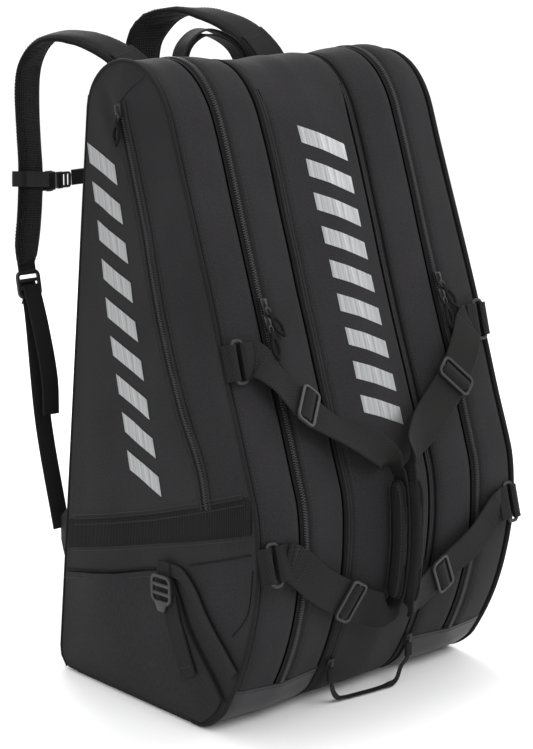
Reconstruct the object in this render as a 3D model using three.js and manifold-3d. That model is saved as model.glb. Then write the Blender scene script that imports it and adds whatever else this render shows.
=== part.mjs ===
// A racket tournament bag standing on its flat base: three compartments side by side, a middle
// flap, two long zips, two carry handles across the front and two shoulder straps at the back.
// Millimetres. +X is to the bag's right as seen from the front, +Y to the back panel, +Z up.
// The origin is on the flat bottom, midway across the bag, below the middle compartment.
import * as THREE from "three";
import { mergeVertices } from "three/addons/utils/BufferGeometryUtils.js";
import Module from "manifold-3d";

const wasm = await Module();
wasm.setup();

// ---- driving dimensions -------------------------------------------------------------------
const WIDTH = 430; // over the two side panels
const HEIGHT = 770; // floor to the crest of the top
const FOOT = 163; // how far the base reaches forward of the origin
const BULGE = 242; // how far the kink in the front stands forward
const BULGE_HEIGHT = 225;
const FRONT_START = { y: -235, z: 290 }; // lower end of the straight front
const FRONT_END = { y: -97, z: 700 }; // upper end of the straight front
const CREST_Y = -16;
const BACK_TOP = { y: 55.5, z: 715 };
const BACK_FOOT = { y: 133.6, z: 30 };
const CORNER_Y = 107; // where the rounded back corner meets the floor
const SKIN = 4; // thickness of a fabric panel with its lining
const GAP = 0.4; // clearance between neighbouring pieces
const SEAM_X = 74; // seams beside the middle compartment
const ZIP_X = 143; // zips of the two side compartments
const FLAP_X = 64; // half the width of the middle flap
const BAND_HEIGHT = 60; // coated band round the foot of the front
const FLAP_HINGE_HEIGHT = 735;
const SIDE_PIPING_X = 210;
const SIDE_PIPING_R = 3.2;
const WEB_WIDTH = 44; // carry handle webbing
const WEB_THICK = 2;
const PAD_WIDTH = 64;
const PAD_THICK = 14;

// ---- materials ----------------------------------------------------------------------------
const material = (color, roughness, metalness = 0) =>
  new THREE.MeshStandardMaterial({ color, roughness, metalness });
const cloth = material(0x262527, 0.85);
const coated = material(0x3a3b3e, 0.5);
const webbing = material(0x1f1f1e, 0.8);
const padding = material(0x242326, 0.85);
const mesh = material(0x1b1b1c, 0.95);
const zipTape = material(0x1d1d1f, 0.7);
const plastic = material(0x19191b, 0.4);
const zinc = material(0x232325, 0.35, 0.6);

const bag = new THREE.Group();

function add(name, geometry, look) {
  const piece = new THREE.Mesh(geometry, look);
  piece.name = name;
  bag.add(piece);
}

// ---- solids and booleans ------------------------------------------------------------------
function toSolid(geometry) {
  const bare = geometry.index ? geometry.toNonIndexed() : geometry.clone();
  bare.deleteAttribute("normal");
  bare.deleteAttribute("uv");
  const merged = mergeVertices(bare, 1e-3);
  return new wasm.Manifold(
    new wasm.Mesh({
      numProp: 3,
      vertProperties: merged.attributes.position.array,
      triVerts: new Uint32Array(merged.index.array),
    }),
  );
}

function toGeometry(solid) {
  const result = solid.getMesh();
  return new THREE.BufferGeometry()
    .setAttribute("position", new THREE.BufferAttribute(result.vertProperties, 3))
    .setIndex(new THREE.BufferAttribute(result.triVerts, 1));
}

function join(...geometries) {
  return toGeometry(geometries.map(toSolid).reduce((whole, next) => whole.add(next)));
}

function cut(geometry, ...tools) {
  return toGeometry(tools.map(toSolid).reduce((whole, tool) => whole.subtract(tool), toSolid(geometry)));
}

// A closed box of cells whose grid corners are moved to place(u, v, w).
function gridBox(us, vs, ws, place) {
  const cells = [us.length - 1, vs.length - 1, ws.length - 1];
  const geometry = new THREE.BoxGeometry(1, 1, 1, ...cells);
  const corners = geometry.attributes.position;
  const pick = (list, at) => list[Math.round((at + 0.5) * (list.length - 1))];
  for (let i = 0; i < corners.count; i++) {
    const u = pick(us, corners.getX(i));
    const v = pick(vs, corners.getY(i));
    const w = pick(ws, corners.getZ(i));
    corners.setXYZ(i, ...place(u, v, w).toArray());
  }
  return geometry;
}

// ---- the side profile: floor, bulge, straight front, rounded top --------------------------
const lean = new THREE.Vector2(FRONT_END.y - FRONT_START.y, FRONT_END.z - FRONT_START.z).normalize();
const profile = new THREE.Path();
profile.moveTo(-FOOT, 0);
profile.bezierCurveTo(-FOOT - 40, 55, -BULGE, 140, -BULGE, BULGE_HEIGHT);
profile.bezierCurveTo(
  -BULGE, BULGE_HEIGHT + 20,
  FRONT_START.y - 20 * lean.x, FRONT_START.z - 20 * lean.y,
  FRONT_START.y, FRONT_START.z,
);
profile.lineTo(FRONT_END.y, FRONT_END.z);
profile.bezierCurveTo(
  FRONT_END.y + 45 * lean.x, FRONT_END.z + 45 * lean.y,
  CREST_Y - 38, HEIGHT,
  CREST_Y, HEIGHT,
);
profile.bezierCurveTo(CREST_Y + 36, HEIGHT, BACK_TOP.y - 3.6, BACK_TOP.z + 32, BACK_TOP.y, BACK_TOP.z);
const LENGTH = profile.getLength(); // from the floor, up the front and over to the back panel

const backProfile = new THREE.Path();
backProfile.moveTo(BACK_TOP.y, BACK_TOP.z);
backProfile.lineTo(BACK_FOOT.y, BACK_FOOT.z);
backProfile.quadraticCurveTo(BACK_FOOT.y + 3, 0, CORNER_Y, 0);

// Point and outward normal of a profile at a share of its length.
function skinAt(path, share, side) {
  const along = path.getTangent(share);
  return { point: path.getPoint(share), normal: new THREE.Vector2(-side * along.y, side * along.x) };
}

// The length along the front at which it reaches a height.
function alongAt(z) {
  let low = 0;
  let high = LENGTH - 100;
  for (let i = 0; i < 40; i++) {
    const middle = (low + high) / 2;
    if (profile.getPoint(middle / LENGTH).y < z) low = middle;
    else high = middle;
  }
  return low;
}

// Each compartment is stuffed a little, so the front stands proud between its seams.
const CROWN = [
  [0, 9],
  [SEAM_X, 2.5],
  [ZIP_X, 8.5],
  [SIDE_PIPING_X, 0],
];
function crown(x, s) {
  const out = Math.min(Math.abs(x), SIDE_PIPING_X);
  const i = Math.max(1, CROWN.findIndex(([edge]) => out <= edge));
  const height = THREE.MathUtils.mapLinear(out, CROWN[i - 1][0], CROWN[i][0], CROWN[i - 1][1], CROWN[i][1]);
  const fade = THREE.MathUtils.smoothstep(s, 0, 120) * THREE.MathUtils.smoothstep(LENGTH - s, 0, 60);
  return height * fade;
}

// A point of the front and top: x across, s along from the floor, d outward from the skin.
function onSkin(x, s, d) {
  const { point, normal } = skinAt(profile, s / LENGTH, 1);
  const out = crown(x, s) + d;
  return new THREE.Vector3(x, point.x + normal.x * out, point.y + normal.y * out);
}

const straightStart = alongAt(FRONT_START.z);
const straightEnd = alongAt(FRONT_END.z);
const BENDS = [];
for (let i = 1; i < 10; i++) BENDS.push((straightStart * i) / 9);
for (let i = 0; i < 10; i++) BENDS.push(straightEnd + ((LENGTH - straightEnd) * i) / 10);

// The stations where a piece running from one length to another needs a row of corners.
function stations(from, to) {
  return [from, ...BENDS.filter((s) => s > from + 2 && s < to - 2), to];
}

function skinPanel(xs, from, to, inner, outer) {
  return gridBox(xs, stations(from, to), [0, 1], (x, s, w) => {
    const top = typeof outer === "function" ? outer(x) : outer;
    return onSkin(x, s, w ? top : inner);
  });
}

function piping(x, radius, depth, from, to) {
  const rows = stations(from, to);
  const geometry = new THREE.CylinderGeometry(1, 1, 1, 6, rows.length - 1);
  const corners = geometry.attributes.position;
  for (let i = 0; i < corners.count; i++) {
    const s = rows[Math.round((corners.getY(i) + 0.5) * (rows.length - 1))];
    const point = onSkin(x + radius * corners.getX(i), s, depth + radius * corners.getZ(i));
    corners.setXYZ(i, ...point.toArray());
  }
  return geometry;
}

// ---- shell: panels, dividers, base --------------------------------------------------------
// An upright panel in the plane across X, inset from the front and from the back.
function uprightPanel(x, thickness, frontInset, backInset) {
  const outline = new THREE.Shape();
  const rows = stations(backInset, LENGTH - backInset);
  rows.forEach((s, i) => {
    const { point, normal } = skinAt(profile, s / LENGTH, 1);
    const corner = point.clone().addScaledVector(normal, -frontInset);
    if (i) outline.lineTo(corner.x, corner.y);
    else outline.moveTo(corner.x, corner.y);
  });
  for (const share of [0.005, 0.944, 0.958, 0.972, 0.986, 1]) {
    const { point, normal } = skinAt(backProfile, share, 1);
    const corner = point.clone().addScaledVector(normal, -backInset);
    outline.lineTo(corner.x, corner.y);
  }
  const geometry = new THREE.ExtrudeGeometry(outline, { depth: thickness, bevelEnabled: false });
  const turn = new THREE.Matrix4().set(0, 0, 1, x, 1, 0, 0, 0, 0, 1, 0, 0, 0, 0, 0, 1);
  return geometry.applyMatrix4(turn);
}

const bandTop = alongAt(BAND_HEIGHT);
const hingeAlong = alongAt(FLAP_HINGE_HEIGHT);
const seamPipingR = 1.6;
const seamPipingX = SEAM_X + 2;
const zipHalfWidth = 8;
const outerEdge = SIDE_PIPING_X - SIDE_PIPING_R - GAP;
const innerEdge = seamPipingX + seamPipingR + GAP;
const plate = 4;

function addSides() {
  for (const [name, side] of [["left", -1], ["right", 1]]) {
    const x = side < 0 ? -WIDTH / 2 : WIDTH / 2 - plate;
    add(`${name}_side_panel`, uprightPanel(x, plate, 5, 0.5), cloth);
    const dividerX = side < 0 ? -SEAM_X - 1 : SEAM_X - 2;
    add(`${name}_divider`, uprightPanel(dividerX, 3, 5, 13), cloth);
  }
}

function addBack() {
  const rows = [0.004, 0.5, 0.944, 0.958, 0.972, 0.986, 1];
  const shell = gridBox([-SIDE_PIPING_X - 0.5, SIDE_PIPING_X + 0.5], rows, [-12, 0], (x, share, d) => {
    const { point, normal } = skinAt(backProfile, share, 1);
    return new THREE.Vector3(x, point.x + normal.x * d, point.y + normal.y * d);
  });
  add("back_panel", shell, mesh);
}

function addBase() {
  const floor = gridBox([-outerEdge, outerEdge], [1 - FOOT, CORNER_Y - 0.5], [0, 3], (x, y, z) =>
    new THREE.Vector3(x, y, z));
  const upstands = [-1, 1].map((side) => {
    const xs = [side * outerEdge, side * innerEdge].sort((a, b) => a - b);
    return skinPanel(xs, 0, bandTop, -SKIN, 0);
  });
  add("base_boot", join(floor, ...upstands), coated);
}

function addFront() {
  const zipEdge = ZIP_X + zipHalfWidth + GAP;
  const zipInnerEdge = ZIP_X - zipHalfWidth - GAP;
  for (const [name, side] of [["left", -1], ["right", 1]]) {
    const span = (a, b) => [side * a, side * b].sort((p, q) => p - q);
    const start = bandTop + GAP;
    add(`${name}_outer_front`, skinPanel(span(outerEdge, zipEdge), start, LENGTH, -SKIN, 0), cloth);
    add(`${name}_inner_front`, skinPanel(span(zipInnerEdge, innerEdge), start, LENGTH, -SKIN, 0), cloth);
    const coil = (x) => (Math.abs(Math.abs(x) - ZIP_X) < 3.4 ? 0.6 : -1);
    const xs = [-zipHalfWidth, -3.6, -3.3, 3.3, 3.6, zipHalfWidth].map((x) => side * ZIP_X + x);
    add(`${name}_zipper`, skinPanel(xs, start, LENGTH - 6, -2.5, coil), zipTape);
    add(`side_piping_${name}`, piping(side * SIDE_PIPING_X, SIDE_PIPING_R, -1, 6, LENGTH), padding);
    add(`seam_piping_${name}`, piping(side * seamPipingX, seamPipingR, -0.5, 6, LENGTH), padding);
    const tape = span(FLAP_X + 1, SEAM_X);
    add(`flap_zipper_${name}`, skinPanel(tape, 10, hingeAlong, -SKIN, -0.5), zipTape);
  }
  add("top_middle_panel", skinPanel([-SEAM_X, 0, SEAM_X], hingeAlong + GAP, LENGTH, -SKIN, 0), cloth);
  add("flap_panel", skinPanel([-FLAP_X, 0, FLAP_X], 10, hingeAlong - GAP, -SKIN, 0), cloth);
}

// ---- zip sliders and pullers --------------------------------------------------------------
// A frame lying on a surface: right and up in the surface, out of it, and where its middle is.
function skinFrame(x, s, d, turn = 0) {
  const up = onSkin(x, s + 1, d).sub(onSkin(x, s - 1, d)).normalize();
  const right = new THREE.Vector3(1, 0, 0);
  const out = new THREE.Vector3().crossVectors(right, up).normalize();
  right.applyAxisAngle(out, turn);
  up.applyAxisAngle(out, turn);
  return new THREE.Matrix4().makeBasis(right, up, out).setPosition(onSkin(x, s, d));
}

function box(width, length, height, x, y, z) {
  return new THREE.BoxGeometry(width, length, height).translate(x, y, z);
}

const PIVOT = -4; // the puller's pivot, below the middle of its slider

function sliderShape() {
  const body = box(11, 17, 4, 0, 0, 2.9);
  const bridge = box(3.4, 8, 2.4, 0, 2, 5.8);
  return join(body, bridge);
}

function pullerShape() {
  const tab = new THREE.Shape();
  tab.moveTo(-2, 1);
  tab.lineTo(-2, -8);
  tab.lineTo(-5, -22);
  tab.absarc(0, -27, 5, Math.PI, 2 * Math.PI);
  tab.lineTo(5, -22);
  tab.lineTo(2, -8);
  tab.lineTo(2, 1);
  const eye = new THREE.Path();
  eye.moveTo(-1, -14);
  eye.lineTo(1, -14);
  eye.lineTo(3, -24);
  eye.absarc(0, -27, 3, 0, -Math.PI, true);
  eye.lineTo(-3, -24);
  tab.holes.push(eye);
  const settings = { depth: 2, bevelEnabled: false, curveSegments: 5 };
  return new THREE.ExtrudeGeometry(tab, settings).translate(0, 0, 5.3);
}

const SPLAY = THREE.MathUtils.degToRad(28);
const SLIDER_HEIGHTS = { upper: 496, lower: 476 };
const FLAP_SLIDER_HEIGHT = 64;

function addSliders() {
  for (const [name, side] of [["left", -1], ["right", 1]]) {
    for (const [level, z] of Object.entries(SLIDER_HEIGHTS)) {
      const s = alongAt(z);
      const x = side * ZIP_X;
      add(`${name}_${level}_slider`, sliderShape().applyMatrix4(skinFrame(x, s, 0)), zinc);
      const turn = level === "upper" ? SPLAY : 0;
      const place = skinFrame(x, s, 0).multiply(new THREE.Matrix4().makeTranslation(0, PIVOT, 0));
      place.multiply(new THREE.Matrix4().makeRotationZ(turn));
      add(`${name}_${level}_puller`, pullerShape().applyMatrix4(place), webbing);
    }
    const low = skinFrame(side * (FLAP_X - 2), alongAt(FLAP_SLIDER_HEIGHT), 2.1);
    add(`flap_slider_${name}`, sliderShape().applyMatrix4(low), zinc);
  }
}

// ---- flat webbing -------------------------------------------------------------------------
// Webbing through knots of {at, facing}: its centre line, and the way its outer face looks.
function ribbon(knots, width, thickness, perKnot) {
  const line = new THREE.CatmullRomCurve3(knots.map((knot) => knot.at), false, "centripetal");
  const rows = (knots.length - 1) * perKnot;
  const shares = Array.from({ length: rows + 1 }, (_, i) => i / rows);
  const facings = new THREE.CatmullRomCurve3(knots.map((knot) => knot.facing), false, "centripetal");
  return gridBox([-width / 2, width / 2], shares, [-thickness / 2, thickness / 2], (across, share, out) => {
    const along = line.getTangent(share);
    const sideways = new THREE.Vector3().crossVectors(along, facings.getPoint(share)).normalize();
    const normal = new THREE.Vector3().crossVectors(sideways, along).normalize();
    return line.getPoint(share).addScaledVector(sideways, across).addScaledVector(normal, out);
  });
}

// A knot of a strap lying over the front: its facing is given as across, along and out.
function frontKnot(x, z, d, facing) {
  const s = alongAt(z);
  const base = onSkin(x, s, d);
  const turn = new THREE.Matrix4().extractRotation(skinFrame(x, s, d));
  return { at: base, facing: new THREE.Vector3(...facing).applyMatrix4(turn) };
}

// A moulded rectangular frame with cut corners: no bars is a ring, one bar is a slide buckle.
function roundedFrame(width, height, bars, rim) {
  const [right, top, corner, thickness] = [width / 2, height / 2, 4, 3.2];
  const shape = new THREE.Shape();
  shape.moveTo(corner - right, -top);
  shape.lineTo(right - corner, -top);
  shape.lineTo(right, corner - top);
  shape.lineTo(right, top - corner);
  shape.lineTo(right - corner, top);
  shape.lineTo(corner - right, top);
  shape.lineTo(-right, top - corner);
  shape.lineTo(-right, corner - top);
  const blank = new THREE.ExtrudeGeometry(shape, { depth: thickness, bevelEnabled: false });
  const holes = bars + 1;
  const holeHeight = (height - rim * (holes + 1)) / holes;
  const windows = Array.from({ length: holes }, (_, i) => {
    const middle = -top + rim + holeHeight / 2 + i * (holeHeight + rim);
    return box(width - 2 * rim, holeHeight, 3 * thickness, 0, middle, thickness / 2);
  });
  return cut(blank, ...windows).translate(0, 0, -thickness / 2);
}

// Places a buckle with its length across a strap, its height along it and its face outward.
function onStrap(at, along, facing) {
  const sideways = new THREE.Vector3().crossVectors(along, facing).normalize();
  const normal = new THREE.Vector3().crossVectors(sideways, along).normalize();
  return new THREE.Matrix4().makeBasis(sideways, along.clone().normalize(), normal).setPosition(at);
}

// ---- carry handles ------------------------------------------------------------------------
const RING = { x: 190, upper: 441, lower: 222, d: 8 };
const STRAP_X = 2.8; // the turned webbing runs beside the middle plane
const GRIP_THICK = 11;
const GRIP_WIDTH = 34;
const GRIP_TOP = 283;
const GRIP_BOTTOM = 149;
const GRIP_D = 25;

function addHandle(name, side) {
  const out = [0, 0, 1];
  const turned = [side, 0, 0];
  const half = [side, 0, 1];
  const knots = [
    frontKnot(side * (RING.x - 11), RING.upper, RING.d, out),
    frontKnot(side * (RING.x - 19), RING.upper - 3, RING.d + 2, out),
    frontKnot(side * 154, 416, 12, out),
    frontKnot(side * 122, 382, 14, out),
    frontKnot(side * 72, 340, 17, out),
    frontKnot(side * 27, 312, 21, half),
    frontKnot(side * (STRAP_X + 3), 294, GRIP_D, turned),
    frontKnot(side * STRAP_X, 285, GRIP_D, turned),
    frontKnot(side * STRAP_X, 212, GRIP_D, turned),
    frontKnot(side * (STRAP_X + 0.6), 141, GRIP_D, turned),
    frontKnot(side * (STRAP_X + 5), 131, GRIP_D, turned),
    frontKnot(side * 24, 128, 21, half),
    frontKnot(side * 47, 137, 17, out),
    frontKnot(side * 78, 155, 15, out),
    frontKnot(side * 130, 188, 12, out),
    frontKnot(side * (RING.x - 21), RING.lower - 3, RING.d + 2, out),
    frontKnot(side * (RING.x - 11), RING.lower, RING.d, out),
  ];
  add(`${name}_handle_webbing`, ribbon(knots, WEB_WIDTH, WEB_THICK, 3), webbing);

  const gripXs = [side * (STRAP_X + 1.4), side * (STRAP_X + 1.4 + GRIP_THICK)].sort((a, b) => a - b);
  const gripRows = [GRIP_BOTTOM, GRIP_BOTTOM + 8, 180, 225, 255, GRIP_TOP - 8, GRIP_TOP].map(alongAt);
  const grip = gridBox(gripXs, gripRows, [-GRIP_WIDTH / 2, GRIP_WIDTH / 2], (x, s, w) => {
    const end = s === gripRows[0] || s === gripRows.at(-1);
    return onSkin(0, s, GRIP_D + w * (end ? 0.7 : 1)).setX(x);
  });
  add(`${name}_grip_pad`, grip, padding);

  for (const [level, index] of [["upper", 3], ["lower", 13]]) {
    const knot = knots[index];
    const along = knots[index + 1].at.clone().sub(knots[index - 1].at);
    const place = onStrap(knot.at, along, knot.facing);
    const shape = roundedFrame(54, 27, 1, 4).translate(0, 0, WEB_THICK / 2 + GAP + 3);
    add(`${name}_${level}_adjuster`, shape.applyMatrix4(place), plastic);
  }
  const upperRing = onSkin(side * RING.x, alongAt(RING.upper), RING.d);
  const lowerRing = onSkin(side * RING.x, alongAt(RING.lower), RING.d);
  const barLine = upperRing.clone().sub(lowerRing);
  for (const [level, at] of [["upper", upperRing], ["lower", lowerRing]]) {
    const facing = new THREE.Vector3(0, -lean.y, lean.x);
    const place = onStrap(at, new THREE.Vector3(side, 0, 0), facing.projectOnPlane(barLine.clone().normalize()));
    const shape = roundedFrame(52, 18, 0, 4).translate(0, 5, 0);
    add(`${name}_${level}_ring`, shape.applyMatrix4(place), plastic);
  }
}

// The loop that joins the two flap sliders hangs to the floor in front of the base.
function addPullLoop() {
  const eye = skinFrame(0, alongAt(FLAP_SLIDER_HEIGHT), 4);
  const axis = new THREE.Vector3().setFromMatrixPosition(eye.multiply(new THREE.Matrix4().makeTranslation(0, -11, 0)));
  const front = new THREE.Vector3(0, -1, 0);
  const slant = new THREE.Vector3(0.6, -0.8, 0);
  const floor = axis.y - 2;
  const points = [
    [-62, axis.y, axis.z - 1, front],
    [-56, floor, 22, front],
    [-44, floor - 2, 6.5, slant],
    [-10, floor - 6, 5, slant],
    [30, floor - 6, 5, front],
    [52, floor - 2, 7, front],
    [60, floor, 22, front],
    [62, axis.y, axis.z - 1, front],
  ];
  const knots = points.map(([x, y, z, facing]) => ({ at: new THREE.Vector3(x, y, z), facing }));
  add("pull_loop", ribbon(knots, 4.4, 2.4, 2), webbing);
}

// ---- shoulder straps ----------------------------------------------------------------------
const STRAPS = {
  left: {
    pad: [
      [-118, 66, 704], [-120, 68, 738], [-134, 96, 772], [-158, 142, 788], [-180, 184, 784],
      [-192, 213, 754], [-194, 222, 700], [-191, 216, 614], [-203, 206, 506],
    ],
    twist: 0.35,
    tab: [-199, 146, 178],
    sternum: [[-186, 230, 610], [-158, 240, 606]],
  },
  right: {
    pad: [
      [95, 66, 704], [93, 68, 742], [76, 98, 787], [47, 142, 808], [14, 186, 812],
      [-12, 218, 786], [-16, 230, 730], [12, 226, 614], [62, 206, 506],
    ],
    twist: 0,
    tab: [192, 146, 178],
    sternum: [[6, 241, 616], [-104, 239, 608]],
  },
};

function addShoulderStrap(name) {
  const strap = STRAPS[name];
  const points = strap.pad.map((point) => new THREE.Vector3(...point));
  const line = new THREE.CatmullRomCurve3(points, false, "centripetal");
  const knots = points.map((at, i) => {
    const share = i / (points.length - 1);
    const facing = line.getTangent(share).cross(new THREE.Vector3(1, 0, 0));
    facing.x += strap.twist * THREE.MathUtils.smoothstep(share, 0.3, 0.7);
    return { at, facing };
  });
  add(`shoulder_pad_${name}`, ribbon(knots, PAD_WIDTH, PAD_THICK, 2), padding);

  const end = points.at(-1);
  const tab = new THREE.Vector3(...strap.tab);
  const down = tab.clone().sub(end).normalize();
  const back = new THREE.Vector3(0, 1, 0);
  const lock = onStrap(end.clone().addScaledVector(down, 22), down, back);
  add(`ladder_lock_${name}`, roundedFrame(36, 34, 1, 5).applyMatrix4(lock), plastic);
  const lower = [end.clone().addScaledVector(down, 42), end.clone().lerp(tab, 0.6), tab];
  lower[1].y += 9;
  const lowerKnots = lower.map((at) => ({ at, facing: back }));
  add(`lower_webbing_${name}`, ribbon(lowerKnots, 25, 2, 4), webbing);

  const [near, far] = strap.sternum.map((point) => new THREE.Vector3(...point));
  const sternumKnots = [near, far].map((at) => ({ at, facing: back }));
  add(`sternum_webbing_${name}`, ribbon(sternumKnots, 20, 1.6, 2), webbing);
}

function addSternumBuckle() {
  const socket = gridBox([-12, 12], [-13, 13], [-3.5, 3.5], (z, x, y) => new THREE.Vector3(x, y, z));
  add("sternum_buckle_socket", socket.translate(-142.4, 240, 606), plastic);
  const plug = gridBox([-10, 10], [-12, 12], [-3, 3], (z, x, y) => new THREE.Vector3(x, y, z));
  add("sternum_buckle_plug", plug.translate(-116.8, 240, 606), plastic);
}

// ---- grab handle at the top of the back ---------------------------------------------------
function addGrabHandle() {
  const middle = -8;
  const outward = (x, z) => new THREE.Vector3(x, 0, z);
  const knots = [
    { at: new THREE.Vector3(middle - 50, 70.5, 700), facing: outward(-1, 0) },
    { at: new THREE.Vector3(middle - 50, 72, 740), facing: outward(-1, 0) },
    { at: new THREE.Vector3(middle - 38, 78, 776), facing: outward(-1, 0.8) },
    { at: new THREE.Vector3(middle, 84, 795), facing: outward(0, 1) },
    { at: new THREE.Vector3(middle + 38, 78, 776), facing: outward(1, 0.8) },
    { at: new THREE.Vector3(middle + 50, 72, 740), facing: outward(1, 0) },
    { at: new THREE.Vector3(middle + 50, 70.5, 700), facing: outward(1, 0) },
  ];
  add("grab_handle", ribbon(knots, 25, 5, 3), webbing);
}

// ---- left side: long pocket zip and shoe pocket -------------------------------------------
const SIDE_FACE = -WIDTH / 2 - GAP;

function sideKnot(y, z, out) {
  return { at: new THREE.Vector3(SIDE_FACE - out, y, z), facing: new THREE.Vector3(-1, 0, 0) };
}

function addSidePocket() {
  const route = [[-12, 721], [-52, 596], [-76, 504], [-98, 432], [-124, 364], [-150, 315], [-161, 270]];
  const knots = route.map(([y, z]) => sideKnot(y, z, 0.8));
  add("side_pocket_zipper", ribbon(knots, 15, 1.6, 2), zipTape);
  const up = new THREE.Vector3(0, 40, 125).normalize();
  const at = new THREE.Vector3(SIDE_FACE - 1.6, -14.5, 713);
  const place = onStrap(at, up, new THREE.Vector3(-1, 0, 0));
  add("side_pocket_slider", sliderShape().applyMatrix4(place), zinc);
  const hang = place.multiply(new THREE.Matrix4().makeTranslation(0, PIVOT, 0));
  hang.multiply(new THREE.Matrix4().makeRotationZ(-Math.atan2(40, 125)));
  add("side_pocket_puller", pullerShape().applyMatrix4(hang), webbing);
}

function addShoePocket() {
  const outline = new THREE.Shape();
  outline.moveTo(99, 3);
  outline.lineTo(124, 12);
  outline.lineTo(128, 60);
  outline.lineTo(119, 132);
  outline.lineTo(5, 156);
  outline.lineTo(-73, 178);
  outline.lineTo(-128, 194);
  outline.lineTo(-228, 214);
  outline.lineTo(-222, 150);
  outline.lineTo(-196, 88);
  outline.lineTo(-160, 38);
  outline.lineTo(-128, 5);
  const panel = new THREE.ExtrudeGeometry(outline, { depth: 3, bevelEnabled: false });
  const turn = new THREE.Matrix4().set(0, 0, 1, SIDE_FACE - 3, 1, 0, 0, 0, 0, 1, 0, 0, 0, 0, 0, 1);
  add("shoe_pocket_panel", panel.applyMatrix4(turn), cloth);

  const tilt = new THREE.Vector3(0, 0.42, 0.9).normalize();
  const lockAt = new THREE.Vector3(SIDE_FACE - 3 - GAP - 3.4, -78, 152);
  const lock = onStrap(lockAt, tilt, new THREE.Vector3(-1, 0, 0));
  add("pocket_ladder_lock", roundedFrame(32, 40, 1, 5).applyMatrix4(lock), plastic);
  const strapRoute = [[-91, 124], [-118, 92], [-145, 62]];
  const knots = strapRoute.map(([y, z]) => sideKnot(y, z, 4.6));
  add("pocket_strap", ribbon(knots, 20, 1.6, 2), webbing);
}

addSides();
addBack();
addBase();
addFront();
addSliders();
addHandle("left", -1);
addHandle("right", 1);
addPullLoop();
addShoulderStrap("left");
addShoulderStrap("right");
addSternumBuckle();
addGrabHandle();
addSidePocket();
addShoePocket();

export default bag;
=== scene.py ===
import math

import bmesh
import bpy
import numpy as np
from mathutils import Matrix, Vector, noise
from mathutils.bvhtree import BVHTree


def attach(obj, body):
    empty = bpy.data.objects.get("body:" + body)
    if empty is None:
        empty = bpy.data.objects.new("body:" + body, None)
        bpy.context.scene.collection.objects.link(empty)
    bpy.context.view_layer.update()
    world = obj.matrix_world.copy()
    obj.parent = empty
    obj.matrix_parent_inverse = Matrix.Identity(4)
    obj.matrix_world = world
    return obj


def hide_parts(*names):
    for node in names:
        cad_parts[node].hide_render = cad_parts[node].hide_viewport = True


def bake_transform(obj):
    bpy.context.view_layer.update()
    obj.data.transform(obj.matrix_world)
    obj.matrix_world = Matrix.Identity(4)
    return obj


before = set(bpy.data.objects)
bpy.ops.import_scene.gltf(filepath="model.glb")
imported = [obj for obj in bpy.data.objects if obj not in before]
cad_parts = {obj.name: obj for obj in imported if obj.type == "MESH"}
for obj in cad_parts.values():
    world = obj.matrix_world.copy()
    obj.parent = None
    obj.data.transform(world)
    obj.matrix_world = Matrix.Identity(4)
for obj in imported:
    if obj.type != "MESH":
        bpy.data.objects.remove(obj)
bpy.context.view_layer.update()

# ---- driving dimensions, as in the CAD source ------------------------------------------------
HEIGHT = 0.770
FOOT = 0.163  # how far forward the front line meets the floor
BULGE, BULGE_HEIGHT = 0.242, 0.225  # the fullest part of the belly
FRONT_START = Vector((-0.235, 0.290))  # the straight stretch of the front, as (y, z)
FRONT_END = Vector((-0.097, 0.700))
CREST_Y = -0.016
BACK_TOP = Vector((0.0555, 0.715))
BACK_FOOT = Vector((0.1336, 0.030))
CORNER_Y = 0.107  # where the back line meets the floor
FOOT_START = -0.120  # where the front edge leaves the floor, rounding up into the front
BAND_HEIGHT, HINGE_HEIGHT = 0.060, 0.735
SEAM_X, ZIP_X, FLAP_X, SIDE_PIPING_X = 0.074, 0.143, 0.064, 0.210
INNER_EDGE, OUTER_EDGE = 0.078, 0.2064  # the cloth of a front strip runs between these
ZIP_HALF = 0.0084
WEB_WIDTH = 0.044
FOLDED_WEB = (WEB_WIDTH * 0.93, 0.0015)  # webbing where it is folded round a ring, as (width, thickness)
LOWER_WEB = (0.025, 0.0017)
HANDLE_WEB = (0.025, 0.0018)
PIPING_R = 0.0032
SIDES = (("left", -1), ("right", 1))


def ease(t):
    """0 to 1 with a soft start and end."""
    t = min(max(t, 0.0), 1.0)
    return t * t * (3 - 2 * t)


def bump(value, middle, width):
    """1 at the middle, falling smoothly to 0 a width away."""
    return ease(1 - abs(value - middle) / width)


# ---- side profile ----------------------------------------------------------------------------
def bezier(a, b, c, d, steps=60):
    """Points of a cubic curve from a to d."""
    a, b, c, d = (np.array(p, float) for p in (a, b, c, d))
    t = np.linspace(0, 1, steps)[:, None]
    return (1 - t) ** 3 * a + 3 * (1 - t) ** 2 * t * b + 3 * (1 - t) * t * t * c + t**3 * d


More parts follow.
